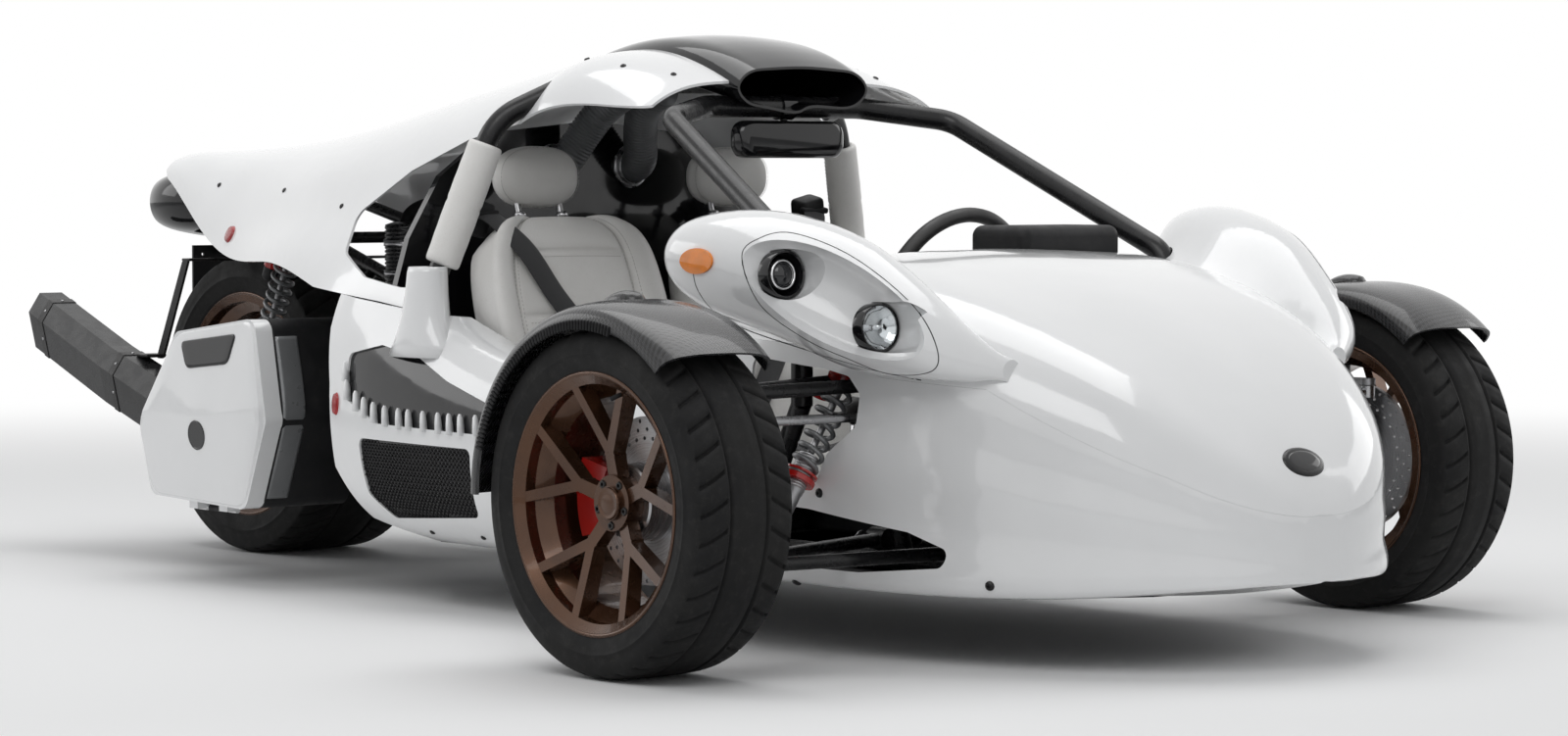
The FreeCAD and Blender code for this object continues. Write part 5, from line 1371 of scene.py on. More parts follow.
def strap(name):
    half, thick = beltLook["width"] / 2, beltLook["thick"]
    spots, facings = (through([make(*mark[k]) for mark in beltLook[name]], 12)
                      for k, make in ((0, at), (1, lambda *v: Vector(v))))
    rings, coordinates = [], []
    length = 0.0
    for i, (spot, facing) in enumerate(zip(spots, facings)):
        along = (spots[min(i + 1, len(spots) - 1)] - spots[max(i - 1, 0)]).normalized()
        side = along.cross(facing).normalized()
        normal = side.cross(along).normalized()
        length += (spot - spots[i - 1]).length if i else 0
        rings.append([spot + side * half * a + normal * thick * b for a, b in beltLook["section"]])
        coordinates += [(length / beltLook["width"], (a + 1) / 2) for a, _ in beltLook["section"]]
    mesh = loft(name, rings)
    layer = mesh.uv_layers.new(name="strap")
    for loop in mesh.loops:
        layer.data[loop.index].uv = coordinates[loop.vertex_index]
    return mesh


def addBelts():
    mirroredPiece("beltStraps", [strap("shoulder"), strap("lap")], belt)
    tip = at(-884, -48, 296)
    turn = (0.15, -0.45, 0.25)
    case = softBox("buckle", tip + Vector((0, 0, -0.030)), (0.030, 0.022, 0.062), 0.005, 3, turn)
    stalk = tubeAlong("stalk", [at(-892, -30, 168), at(-892, -32, 215), at(-888, -44, 250)], 0.009,
                      10, 12)
    tongue = softBox("tongue", tip + Vector((0.002, -0.004, 0.012)), (0.005, 0.044, 0.034), 0.002,
                     2, turn)
    reel = softBox("reel", at(-1098, -418, 742), (0.050, 0.056, 0.070), 0.010, 3, (-0.25, 0.2, 0))
    guide = softBox("guide", at(-1074, -414, 750), (0.016, 0.066, 0.012), 0.004, 2, (0, 0.2, 0))
    anchor = softBox("anchor", at(-891, -459, 222), (0.034, 0.008, 0.050), 0.003, 2)
    button = softBox("button", tip + Vector((0.012, 0.0, -0.010)), (0.006, 0.015, 0.020), 0.002, 2,
                     turn)
    mirroredPiece("beltBuckles", [case, stalk, reel, guide], plasticBlack)
    mirroredPiece("beltTongues", [tongue, anchor], brushedSteel)
    mirroredPiece("beltButtons", [button], redPaint)


addBelts()
print("belts are in")


# --- steering wheel, dash instruments, gear lever, pedals, mirror

wheelLook = {"hub": (-470, 240, 590), "end": (36, 240, 430), "radius": 0.165, "grip": 0.0145,
             "steps": 72, "stitches": 150, "bolts": 6,
             # each spoke's angle and width, and how the width and the drop run along it
             "spokes": ((0.12, 0.036), (pi - 0.12, 0.036), (-pi / 2, 0.030)),
             "stations": (0.10, 0.2, 0.4, 0.6, 0.8, 0.95),
             "section": ((-1, 0), (-0.8, 1), (0.8, 1), (1, 0), (0.8, -1), (-0.8, -1)),
             "plate": ((-0.034, 0.0), (-0.034, 0.040), (-0.026, 0.044), (-0.020, 0.040),
                       (-0.020, 0.0)),
             "boss": ((-0.085, 0.0), (-0.085, 0.024), (-0.045, 0.030), (-0.035, 0.036),
                      (-0.030, 0.036), (-0.030, 0.0)),
             "pad": ((-0.021, 0.0), (-0.021, 0.030), (-0.012, 0.031), (-0.006, 0.027),
                     (-0.003, 0.016), (-0.002, 0.0))}


def addSteeringWheel():
    look = wheelLook
    hub, end = at(*look["hub"]), at(*look["end"])
    axis = (hub - end).normalized()
    top = axis.cross(across).normalized()
    top = top if top.z > 0 else -top
    r, grip = look["radius"], look["grip"]

    def wayAt(turn):
        return across * cos(turn) + top * sin(turn)
    rings = []
    for turn in (2 * pi * i / look["steps"] for i in range(look["steps"])):
        out = wayAt(turn)
        # thumb swellings at ten and two
        swell = 1 + 0.14 * (hump(turn, 0.35, 0.16) + hump(turn, pi - 0.35, 0.16))
        rings.append(circleAt(hub + out * r, out * 1.02, axis * 1.15, grip * 0.93 * swell, 16))
    obj = piece("wheelGrip", loft("grip", rings, round=True), leatherBlack, "steering")
    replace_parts(obj, "steering_wheel")
    seams = []
    for turn in (2 * pi * i / look["stitches"] for i in range(look["stitches"])):
        facing = -wayAt(turn)
        onward = ((wayAt(turn + 0.01) - wayAt(turn)) * r).normalized()
        seams.append((hub - facing * r + facing * grip * 0.95, facing,
                      (axis + onward * 0.5).normalized()))
    addStitches("wheelStitches", seams, "steering")
    parts = []
    for turn, wide in look["spokes"]:
        out = wayAt(turn)
        beside = axis.cross(out).normalized()
        rings = []
        for share in look["stations"]:
            half = wide / 2 * (1 - 0.45 * sin(pi * share))
            centre = hub + out * r * share + axis * (0.002 - 0.030 * (1 - share) ** 2)
            rings.append([centre + beside * a * half + axis * b * 0.003
                          for a, b in look["section"]])
        parts.append(loft("spoke", rings))
    parts += [closedTurn("plate", look["plate"], hub, axis, 40),
              closedTurn("boss", look["boss"], hub, axis, 32),
              tubeAlong("column", [hub - axis * 0.08, end + axis * 0.001], 0.0148, 24)]
    joinedPiece("wheelSpokes", parts, frameBlack, "steering", sharp=40)
    piece("hornPad", closedTurn("hornPad", look["pad"], hub, axis, 40), leatherBlack, "steering")
    bolts = [(hub - axis * 0.0200 + wayAt(2 * pi * i / look["bolts"] + 0.3) * 0.0355, axis, across)
             for i in range(look["bolts"])]
    scatterPiece("wheelBolts", screwMesh(0.0035, 0.002), bolts, brushedSteel, "steering")


addSteeringWheel()

dialLook = {"x": -290.5, "z": 691, "middles": (198, 282), "ticks": 41, "radius": 0.036,
            "rim": ((-0.004, 0.036), (0.003, 0.0365), (0.006, 0.035), (0.006, 0.032),
                    (0.002, 0.031), (-0.004, 0.031)),
            "face": ((-0.004, 0.0), (-0.004, 0.032), (0.0012, 0.0315), (0.0012, 0.0)),
            "pivot": ((0.0012, 0.0), (0.0012, 0.004), (0.0038, 0.0035), (0.0038, 0.0))}
ventLook = {"places": (-270, -120, 60, 330), "x": -215.5, "z": 612, "slatPitch": 0.006,
            "ring": ((-0.003, 0.029), (0.004, 0.030), (0.008, 0.028), (0.008, 0.025),
                     (0.001, 0.023), (-0.003, 0.023)),
            "back": ((-0.003, 0.0), (-0.003, 0.0235), (-0.0005, 0.0235), (-0.0005, 0.0)),
            "knob": ((-0.002, 0.0), (-0.002, 0.013), (0.010, 0.0115), (0.013, 0.009),
                     (0.013, 0.0)),
            "rail": ((-214, -330), (-250, -318), (-256, -280), (-256, -190), (-250, -152),
                     (-214, -140))}


def addDials():
    rims, faces, needles, ticks = [], [], [], []
    look, back = dialLook, -ahead
    for y in look["middles"]:
        spot = at(look["x"], y, look["z"])
        rims.append(closedTurn("rim", look["rim"], spot, back, 44))
        faces.append(closedTurn("face", look["face"], spot, back, 44))
        needles += [softBox("needle", spot + Vector((-0.0028, -0.008, 0.009)),
                            (0.001, 0.0016, look["radius"] * 0.72), 0.0004, 1, (0.75, 0, 0)),
                    closedTurn("pivot", look["pivot"], spot, back, 20)]
        for i in range(look["ticks"]):
            turn = radians(-135 + 270 * i / (look["ticks"] - 1)) + pi / 2
            out = Vector((0, cos(turn), sin(turn)))
            reach = look["radius"] - (0.0072 if i % 5 else 0.0085)
            ticks.append((spot + back * 0.0014 + out * reach, back, out))
    joinedPiece("dialRims", rims, brushedSteel)
    joinedPiece("dialFaces", faces, pianoBlack)
    joinedPiece("dialNeedles", needles, redPaint)
    scatterPiece("dialTicks", softBox("tick", (0, 0, 0), (0.0045, 0.0008, 0.0004), 0.0001, 1),
                 ticks, threadGrey, smooth=True)


def addDashDress():
    look, back = ventLook, -ahead
    vents, slats = [], []
    for y in look["places"]:
        spot = at(look["x"], y, look["z"])
        vents += [closedTurn("vent", look["ring"], spot, back, 36),
                  closedTurn("back", look["back"], spot, back, 30)]
        for rise in (k * look["slatPitch"] for k in range(-3, 4)):
            slats.append(softBox("slat", spot + Vector((-0.002, 0, rise)),
                                 (0.006, 2 * sqrt(0.0225 ** 2 - rise ** 2), 0.0013), 0.0004, 1,
                                 (0, 0.35, 0)))
    joinedPiece("dashVents", vents + slats, plasticBlack)
    keys = [softBox("key", at(-218, -35 + 26 * (i % 3), 640 - 30 * (i // 3)),
                    (0.010, 0.018, 0.022), 0.003, 2) for i in range(6)]
    keys += [closedTurn("knob", look["knob"], at(-215, y, 575), back, 24) for y in (-40, -9, 22)]
    joinedPiece("dashKeys", keys, rubberBlack)
    # the passenger's grab rail
    rail = tubeAlong("rail", [at(x, y, 640) for x, y in look["rail"]], 0.010, 14, 40)
    piece("grabRail", rail, frameBlack)


addDials()
addDashDress()

leverLook = {"base": (-480, 0, 268), "knobAt": (-480, 0, 392), "folds": 7,
             "knob": ((-0.030, 0.0), (-0.030, 0.0085), (-0.018, 0.0105), (-0.010, 0.0165),
                      (0.0, 0.0205), (0.010, 0.0195), (0.017, 0.013), (0.0195, 0.0))}
# each pedal's middle and the width of its pad and of the treads on it
pedalLook = {"pads": ((165, 0.052, 0.044), (235, 0.052, 0.044), (315, 0.040, 0.032)),
             "arm": ((-168, 266), (-140, 330), (-118, 420), (-112, 520)), "lean": (0, 0.55, 0)}


def addLever():
    base, top = at(*leverLook["base"]), at(*leverLook["knobAt"])
    profile = [(0.0, 0.0), (0.0, 0.0195)]
    for i in range(leverLook["folds"]):
        for share, radius in ((i / 7, 0.0195), ((i + 0.5) / 7, 0.0178)):
            profile.append((0.002 + 0.048 * share, radius - 0.012 * i / 7))
    profile += [(0.052, 0.0068), (0.052, 0.0)]
    obj = piece("leverKnob", closedTurn("knob", leverLook["knob"], top, up, 32), leatherBlack)
    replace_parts(obj, "gear_lever")
    piece("leverBoot", closedTurn("boot", profile, base, up, 28), leatherBlack)
    stick = tubeAlong("stick", [base + up * 0.045, top - up * 0.025], 0.0058, 16)
    piece("leverStick", stick, brushedSteel)


def addPedals():
    look = pedalLook
    pads, arms = [], []
    for y, padWide, treadWide in look["pads"]:
        pads.append(softBox("pedal", at(-172, y, 262), (0.010, padWide, 0.074), 0.004, 2,
                            look["lean"]))
        for k in range(-2, 3):
            pads.append(softBox("tread", at(-178 + 1.5 * k, y, 262 + 13 * k),
                                (0.008, treadWide, 0.004), 0.0012, 1, look["lean"]))
        arms.append(tubeAlong("arm", [at(x, y, z) for x, z in look["arm"]], 0.006, 10, 16))
    joinedPiece("pedalPads", pads, rubberBlack)
    joinedPiece("pedalArms", arms, brushedSteel)


addLever()
addPedals()

# each ring of the shell and of the glass: its depth and its shares of the width and the height
mirrorLook = {"middle": (-664, 0, 889), "width": 260, "height": 70, "corner": 27,
              "shell": ((17, 0.86, 0.83), (15, 0.93, 0.90), (9, 0.985, 0.985), (0, 1.0, 1.0),
                        (-12, 1.0, 1.0), (-16, 0.992, 0.992), (-17, 0.97, 0.97),
                        (-17, 0.93, 0.93), (-14.5, 0.925, 0.925)),
              "glass": ((-13.5, 0.92, 0.92), (-15.2, 0.92, 0.92), (-15.4, 0.90, 0.90)),
              "stem": ((-680, 0, 927), (-676, 0, 915), (-668, 0, 900), (-664, 0, 889)),
              "clamp": ((-0.016, 0.0207), (-0.016, 0.0245), (0.016, 0.0245), (0.016, 0.0207))}


def addMirror():
    look = mirrorLook
    x, _, z = look["middle"]
    outline = []
    for a, b, start in ((1, 1, 0), (-1, 1, 90), (-1, -1, 180), (1, -1, 270)):
        for turn in (radians(start + 90 * i / 7) for i in range(8)):
            outline.append((a * (look["width"] / 2 - look["corner"]) + look["corner"] * cos(turn),
                            b * (look["height"] / 2 - look["corner"]) + look["corner"] * sin(turn)))
    shell, glass = (loft(name, [[at(x + depth, a * wide, z + b * tall) for a, b in outline]
                                for depth, wide, tall in look[name]])
                    for name in ("shell", "glass"))
    stem = tubeAlong("stem", [at(*p) for p in look["stem"]], 0.0068, 14, 16)
    clamp = closedTurn("clamp", look["clamp"], at(-680, 0, 950), across, 32)
    obj = joinedPiece("mirrorShell", [shell, stem, clamp], pianoBlack, sharp=50)
    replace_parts(obj, "mirror")
    piece("mirrorGlass", glass, mirrorChrome)


addMirror()
print("the cockpit is dressed")


# --- ducts from the scoop, the canister beside the engine

ductLook = {"route": ((-1090, -42, 990), (-1174, -42, 966), (-1239, -98, 840), (-1275, -98, 840)),
            "radius": 0.0315, "pitch": 0.0085, "ridge": 0.0028 / 0.0315,
            "wave": (0, 0.75, 1, 0.35),
            "clamp": ((-0.006, 0.034), (-0.006, 0.0365), (0.006, 0.0365), (0.006, 0.034)),
            "flange": ((0.0, 0.033), (0.0, 0.044), (0.003, 0.044), (0.005, 0.040),
                       (0.005, 0.033))}


def addDucts():
    look = ductLook
    a, b, c, d = (at(*p) for p in look["route"])
    path = smoothPath([a, a.lerp(b, 0.7), b.lerp(c, 0.25), b.lerp(c, 0.7), c, d], 150)
    length = sum((after - before).length for before, after in zip(path, path[1:]))
    steps = int(length / look["pitch"]) * len(look["wave"])
    fine = []
    for i in range(steps + 1):
        spot = i / steps * (len(path) - 1)
        low = min(int(spot), len(path) - 2)
        fine.append(path[low].lerp(path[low + 1], spot - low))
    hose = bead("duct", fine, look["radius"], 24,
                scale=lambda t: 1 + look["ridge"] * look["wave"][round(t * steps) % 4])
    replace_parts(mirroredPiece("intakeHoses", [hose], ductGrey), "intake_ducts")
    clamp = closedTurn("clamp", look["clamp"], at(-1266, -98, 840), ahead, 30)
    flange = closedTurn("flange", look["flange"], at(-1273.6, -98, 840), ahead, 30)
    mirroredPiece("hoseClamps", [clamp, flange], brushedSteel)


addDucts()

canisterLook = {"middle": (-1545, -258, 655), "radius": 0.046, "tall": 0.138, "ribs": 15,
                "rib": ((0, 0.003), (0.25, 0), (0.7, 0), (0.95, 0.003)),
                "top": ((-0.009, 0), (-0.002, 0.001), (0, 0.006), (0.004, 0.018), (0.004, 0.046)),
                "neck": ((0, 0, -0.002), (0, 0, 0.030), (0.030, 0.040, 0.050),
                         (0.050, 0.100, 0.030)),
                # boxes of the bracket: middle from the foot, size
                "boxes": (((0, 0, -0.004), (0.080, 0.090, 0.006)),
                          ((-0.005, 0.035, -0.006), (0.030, 0.050, 0.010)),
                          ((0, 0.062, 0.138 * 0.45), (0.040, 0.005, 0.110))),
                "band": ((-0.006, 0.0462), (-0.006, 0.0480), (0.006, 0.0480), (0.006, 0.0462))}


def addCanister():
    look = canisterLook
    r, tall, ribs = look["radius"], look["tall"], look["ribs"]
    base = at(*look["middle"]) - up * tall / 2
    profile = [(0.0, 0.0), (0.0, r - 0.004), (0.003, r)]
    profile += [(0.008 + (tall - 0.020) * (i + share) / ribs, r - inset)
                for i in range(ribs) for share, inset in look["rib"]]
    profile += [(tall + along, r - inset) for along, inset in look["top"]]
    piece("airCanister", closedTurn("canister", profile, base, up, 48), carbon)
    neck = [base + up * tall + Vector(p) for p in look["neck"]]
    piece("canisterHose", tubeAlong("neck", neck, 0.016, 16, 30), rubberBlack)
    bracket = [softBox("part", base + Vector(middle), size, 0.002, 2)
               for middle, size in look["boxes"]]
    for rise in (0.28 * tall, 0.72 * tall):
        bracket += [closedTurn("band", look["band"], base + up * rise, up, 44),
                    softBox("lug", base + Vector((0, r + 0.008, rise)), (0.014, 0.018, 0.010),
                            0.002, 1)]
    joinedPiece("canisterBands", bracket, brushedSteel)


addCanister()
print("ducts and canister are in")


# --- openings of the side panels: woven mesh behind, comb fins in the upper one

grilleLook = {"pitch": 11.5, "wire": 0.0011, "lower": (-1250, -855, 166, 330), "fins": 13,
              "line": ((-1284, 452), (-1282, 404), (-1172, 362), (-990, 352), (-815, 352)),
              # shares of a fin's height and width, and its section
              "stations": ((0.0, 1.0), (0.5, 0.9), (0.85, 0.7), (1.0, 0.3)),
              "section": ((-1, -1), (-1, 0.7), (-0.5, 1), (0.5, 1), (1, 0.7), (1, -1))}


# two wires that cross, one over the other
def meshCell():
    half, r = grilleLook["pitch"] / 2000 * 1.02, grilleLook["wire"]
    wires = []
    for k in (1, -1):
        side = Vector((-k, 1, 0)).normalized()
        rings = []
        for s in (-1, 0, 1):
            centre = Vector((half * s, half * s * k, 0.0016 + 0.0009 * k * (1 - abs(s) * 2)))
            rings.append([centre + side * r * a + up * r * b
                          for a, b in ((-1, 0), (0, 1), (1, 0), (0, -1))])
        wires.append(loft("wire", rings))
    return joined("meshCell", wires)


def addGrilleMesh():
    places = []
    pitch = grilleLook["pitch"]
    x0, x1, z0, z1 = grilleLook["lower"]
    for i in range(int((x1 - x0) / pitch)):
        for j in range(int((z1 - z0) / pitch)):
            start = at(x0 + pitch * (i + 0.5), -900, z0 + pitch * (j + 0.5))
            panel, _ = spotOn("side_panel_right", start, across)
            spot, facing = spotOn("side_grilles", start, across)
            if spot and spot.y < 0 and (panel is None or panel.y > spot.y):
                places.append((spot, facing, ahead))
    scatterPiece("grilleMesh", meshCell(), mirroredPlaces(places), plasticBlack)


# fins stand across the lower edge of the upper opening; each leans back and tapers upward
def addGrilleFins():
    line = through([(x, 0, z) for x, z in grilleLook["line"]], 12)
    reach = [0.0]
    for a, b in zip(line, line[1:]):
        reach.append(reach[-1] + (b - a).length)
    fins = []
    for i in range(grilleLook["fins"]):
        wanted = reach[-1] * (i + 0.5) / grilleLook["fins"]
        p = line[max(j for j, length in enumerate(reach) if length <= wanted)]
        spot, facing = spotOn("side_grilles", at(p.x, -900, p.z + 10), across)
        if not spot:
            continue
        rings = []
        for share, wide in grilleLook["stations"]:
            centre = spot + facing * (0.010 - 0.004 * share)
            centre += Vector((-0.008 * share, 0, 0.040 * share - 0.020))
            rings.append([centre + ahead * a * 0.0042 * wide + facing * b * 0.007 * wide
                          for a, b in grilleLook["section"]])
        fins.append(loft("fin", rings))
    mirroredPiece("grilleFins", fins, whitePaint)


addGrilleMesh()
addGrilleFins()
print("side openings have mesh and fins")


# --- side cases: creased lids with dark inserts, latches, edging

caseLook = {"ring": ((-1894, 505), (-1605, 540), (-1565, 337), (-1640, 158), (-1990, 170),
                     (-2036, 316)),
            "face": -585.3, "crease": 338, "creaseHeight": 13, "creaseFall": 175,
            "skin": (0.985, 0.965, 0.93, 0.80, 0.60, 0.40, 0.20, 0.02),
            "insert": ((-1868, 486), (-1664, 508), (-1690, 446), (-1842, 432)),
            # shares of the insert's size, and how far it stands off the lid
            "layers": ((1.0, -1.5), (1.0, 1.4), (0.98, 2.3), (0.94, 2.6), (0.75, 2.6), (0.5, 2.6),
                       (0.25, 2.6), (0.03, 2.6)),
            "badgeAt": (-1800, 300),
            "badge": ((-0.004, 0.0), (-0.004, 0.030), (0.0012, 0.030), (0.002, 0.029),
                      (0.002, 0.027), (0.0012, 0.026), (0.0012, 0.0)),
            "key": ((0.0, 0.0), (0.0, 0.009), (0.004, 0.009), (0.005, 0.007), (0.005, 0.0)),
            "edge": ((-1597, 500), (-1575, 400), (-1571, 340), (-1600, 262), (-1634, 182)),
            "strip": ((-1, -2), (4.2, -1), (5.0, 6), (5.0, 44), (4.2, 50), (-1, 51))}


def scaledRing(ring, share):
    middle = sum(ring, Vector((0, 0))) / len(ring)
    return [middle + (p - middle) * share for p in ring]


# the outer skin rises to a crease across its middle, and its two faces fall away from there
def caseSkin(ring):
    look = caseLook
    layers = []
    for share in look["skin"]:
        row = []
        for q in scaledRing(ring, share):
            fall = abs(q.y - (look["crease"] + 0.10 * abs(q.x + 1800)))
            rise = 0.6 if share > 0.97 else -2.2 * min(1.0, (1 - share) / 0.03)
            if share < 0.97:
                height = look["creaseHeight"] * max(0.0, 1 - fall / look["creaseFall"])
                rise -= height * min(1.0, (1 - share) / 0.06)
            row.append(at(q.x, look["face"] + 0.4 + rise, q.y))
        layers.append(row)
    foot = [Vector((q.x, (look["face"] + 2.5) / 1000, q.z)) for q in layers[0]]
    return loft("lidSkin", [foot] + layers)


def addCases():
    look = caseLook
    ring = roundedRing(look["ring"], 34, 8)
    middle = sum(ring, Vector((0, 0))) / len(ring)
    skin = caseSkin(ring)
    tree = treeOf(skin)
    flat = roundedRing(look["insert"], 16, 6)
    rows = []
    for share, lift in look["layers"]:
        spots = [metBy(tree, at(q.x, -900, q.y), across) for q in scaledRing(flat, share)]
        rows.append([spot + facing * lift / 1000 for spot, facing in spots])
    insert = loft("insert", rows)
    x, z = look["badgeAt"]
    badge = closedTurn("badge", look["badge"], *metBy(tree, at(x, -900, z), across), 40)
    latch = joined("latch", [softBox("latch", at(-1745, -560, 506), (0.052, 0.036, 0.020), 0.005,
                                     3), closedTurn("key", look["key"], at(-1745, -578, 506),
                                                    -across, 20)])
    dress = (("caseInsert_", insert, pianoBlack, 40), ("caseBadge_", badge, pianoBlack, 30),
             ("caseLatch_", latch, plasticBlack, None))
    for parts in ((("caseLidSkin_", skin, whitePaint, 30),), dress):
        for side in ("right", "left"):
            for name, mesh, material, sharp in parts:
                mesh = mesh if side == "right" else mirrorOver(mesh)
                piece(name + side, mesh, material, "lid_" + side, sharp=sharp)
    # seal between body and lid, and a pale strip down the front edge of the body
    outline = [at(p.x, -544.6, p.y) for p in scaledRing(ring, 1.002)]
    mirroredPiece("caseSeals", [bead("seal", outline, 0.0022, 6, closed=True)], rubberBlack)
    strip = []
    for p in through([at(x, -542, z) for x, z in look["edge"]], 8):
        out = (p - at(middle.x, -542, middle.y)).normalized()
        strip.append([p + out * a / 1000 + across * b / 1000 for a, b in look["strip"]])
    mirroredPiece("caseStrips", [loft("strip", strip)], greyPaint)


addCases()
print("side cases are dressed")


# --- wheels: lug nuts, caps, valves, lips

# lip radius, half width and face of each rim; the cap and the lip as (along, radius) from there
rimLook = {"front": (0.217, 0.096, 0.052), "rear": (0.243, 0.135, 0.060), "hub": 0.046,
           "valve": (0.31, 0, 0.95),
           "cap": ((0.006, 0.0), (0.006, 0.02752), (0.0100, 0.02752), (0.0125, 0.02552),
                   (0.0125, 0.02252), (0.0115, 0.02102), (0.0128, 0.01426), (0.0132, 0.0)),
           "lip": ((-0.0015, -0.0065), (0.0006, -0.0055), (0.0012, -0.0030), (0.0006, -0.0008),
                   (-0.0015, -0.0002))}


def addWheelDress(place, side):
    node, body = "rim_" + place, "wheel_" + place
    low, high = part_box(node)
    centre, out = (low + high) / 2, across * side
    radius, half, face = rimLook[place.split("_")[0]]
    face = centre + out * face
    nuts = []
    for turn in (radians(72 * i + 36) for i in range(5)):
        radial = Vector((sin(turn) * side, 0, cos(turn)))
        nuts.append((face + radial * rimLook["hub"] * 0.8 - out * 0.0055, out, up))
    scatterPiece("lugNuts_" + node, hexHead(0.0075, 0.012, 1.02), nuts, blackSteel, body)
    piece("hubCaps_" + node, closedTurn("cap", rimLook["cap"], face, out, 44), bronzePaint, body,
          sharp=45)
    lip = [(half + along, radius + rise) for along, rise in rimLook["lip"]]
    lips = [closedTurn("lip", lip, centre, across * way, 96) for way in (-1, 1)]
    piece("rimLips_" + node, joined("lips", lips), bronzePaint, body)
    radial = Vector(rimLook["valve"])
    stem = [centre + radial * (radius - 0.024) + out * (half - 0.020),
            centre + radial * (radius - 0.034) + out * (half + 0.004)]
    piece("valve_" + node, tubeAlong("valve", stem, 0.0038, 10), rubberBlack, body)


addWheelDress("front_right", -1)
addWheelDress("front_left", 1)
addWheelDress("rear", 1)
print("wheels have nuts, caps and valves")


# --- uprights: calipers, ball joint boots, fender trim

uprightLook = {"track": 886, "radius": 288, "king": 806, "trimReach": 0.2921, "trimHalf": 0.117,
               "trimSteps": 58, "trimPitch": 1.55, "boots": ((211, 1), (183, -1), (440, 1)),
               "boot": ((0.0, 0.0085), (0.0, 0.0165), (0.004, 0.0185), (0.008, 0.0150),
                        (0.0115, 0.0110), (0.0125, 0.0085)),
               "piston": ((-0.002, 0.0), (-0.002, 0.019), (0.0028, 0.018), (0.0040, 0.015),
                          (0.0040, 0.0))}


def addUprightDress(side, tag):
    look, body, out = uprightLook, "upright" + tag, across * side
    wheel = at(0, side * look["track"], look["radius"])
    pads = [softBox("rib", wheel + Vector((-0.144, 0, rise)) - out * 0.0005,
                    (0.020, 0.004, 0.010), 0.0018, 2) for rise in (-0.030, 0.0, 0.030)]
    pads += [closedTurn("piston", look["piston"], wheel + wheelWay(radians(180 + turn)) * 0.117,
                        out, 28) for turn in (-16, 16)]
    joinedPiece("caliperFaces" + tag, pads, redPaint, body)
    bolts = [(wheel + wheelWay(radians(180 + turn)) * 0.139 - out * 0.0018, out, up)
             for turn in (-20, 20)]
    scatterPiece("caliperBolts" + tag, boltHead, bolts, brushedSteel, body)
    boots = [closedTurn("boot", look["boot"], at(0, side * look["king"], z), up * way, 28)
             for z, way in look["boots"]]
    joinedPiece("jointBoots" + tag, boots, rubberBlack, body)
    # ribbed trim along the outer rear edge of the fender and a small cover on its crown
    ribs = []
    for i in range(look["trimSteps"]):
        radial = wheelWay(pi / 2 + radians(i * look["trimPitch"] - 14))
        ribs.append((wheel + radial * look["trimReach"] + out * look["trimHalf"], out, radial))
    rib = softBox("rib", (0, 0, 0), (0.017, 0.0052, 0.0062), 0.0018, 1)
    scatterPiece("fenderTrim" + tag, rib, ribs, rubberBlack, body)
    bump = patchOn("bump", "fender" + tag, at(-50, side * (look["track"] - 10), 900), ahead, across,
                   -up, oval(46, 24, 2.4), 0.006, 0.010)
    piece("fenderBump" + tag, bump, carbon, body)
    screws = [(at(x, side * (look["track"] - 126.5), z), -out, up)
              for x in (-84, -66) for z in (560, 578)]
    scatterPiece("bracketBolts" + tag, boltHead, screws, brushedSteel, body)


addUprightDress(-1, "_right")
addUprightDress(1, "_left")
print("uprights and fenders are dressed")


# --- chain of links, toothed sprockets

chainLook = {"big": 105, "small": 42, "rear": (-2335, 325), "drive": (-1612, 345), "y": 173.5,
             "links": 116, "height": 16,
             "roller": ((-0.0036, 0.0), (-0.0036, 0.0048), (0.0036, 0.0048), (0.0036, 0.0)),
             "pin": ((-0.0070, 0.0), (-0.0070, 0.0024), (0.0070, 0.0024), (0.0070, 0.0)),
             # how far round each tooth, and how far below its tip
             "tooth": ((0.0, 0.0060), (0.18, 0.0048), (0.36, 0.0004), (0.5, 0.0),
                       (0.64, 0.0004), (0.82, 0.0048)),
             "carrier": ((-0.012, 0.036), (-0.012, 0.066), (-0.004, 0.074), (0.0045, 0.074),
                         (0.0045, 0.070), (0.006, 0.040), (0.011, 0.036)),
             "dimple": ((-0.0006, 0.0), (-0.0006, 0.0030), (0.0003, 0.0030), (0.0003, 0.0))}


# where each link stands on the loop and the way that it runs, in the plane of the wheels
def chainSpots():
    rear, drive = Vector(chainLook["rear"]), Vector(chainLook["drive"])
    lift = chainLook["height"] / 2 + 0.3
    big, small = chainLook["big"] + lift, chainLook["small"] + lift
    gap = drive - rear
    axis, lean = atan2(gap.y, gap.x), asin((big - small) / gap.length)
    top, low = axis + pi / 2 - lean, axis - pi / 2 + lean

    def arc(centre, radius, start, sweep, steps):
        turns = [start + sweep * i / steps for i in range(steps + 1)]
        return [centre + Vector((cos(turn), sin(turn))) * radius for turn in turns]
    line = arc(rear, big, top, 2 * pi + low - top, 60) + arc(drive, small, low, top - low, 40)
    line.append(line[0])
    reach = [0.0]
    for a, b in zip(line, line[1:]):
        reach.append(reach[-1] + (b - a).length)
    pitch = reach[-1] / chainLook["links"]
    spots = []
    k = 0
    for i in range(chainLook["links"]):
        while reach[k + 1] < pitch * i:
            k += 1
        step = line[k + 1] - line[k]
        share = (pitch * i - reach[k]) / (reach[k + 1] - reach[k])
        spots.append((line[k].lerp(line[k + 1], share), step.normalized()))
    return spots, pitch


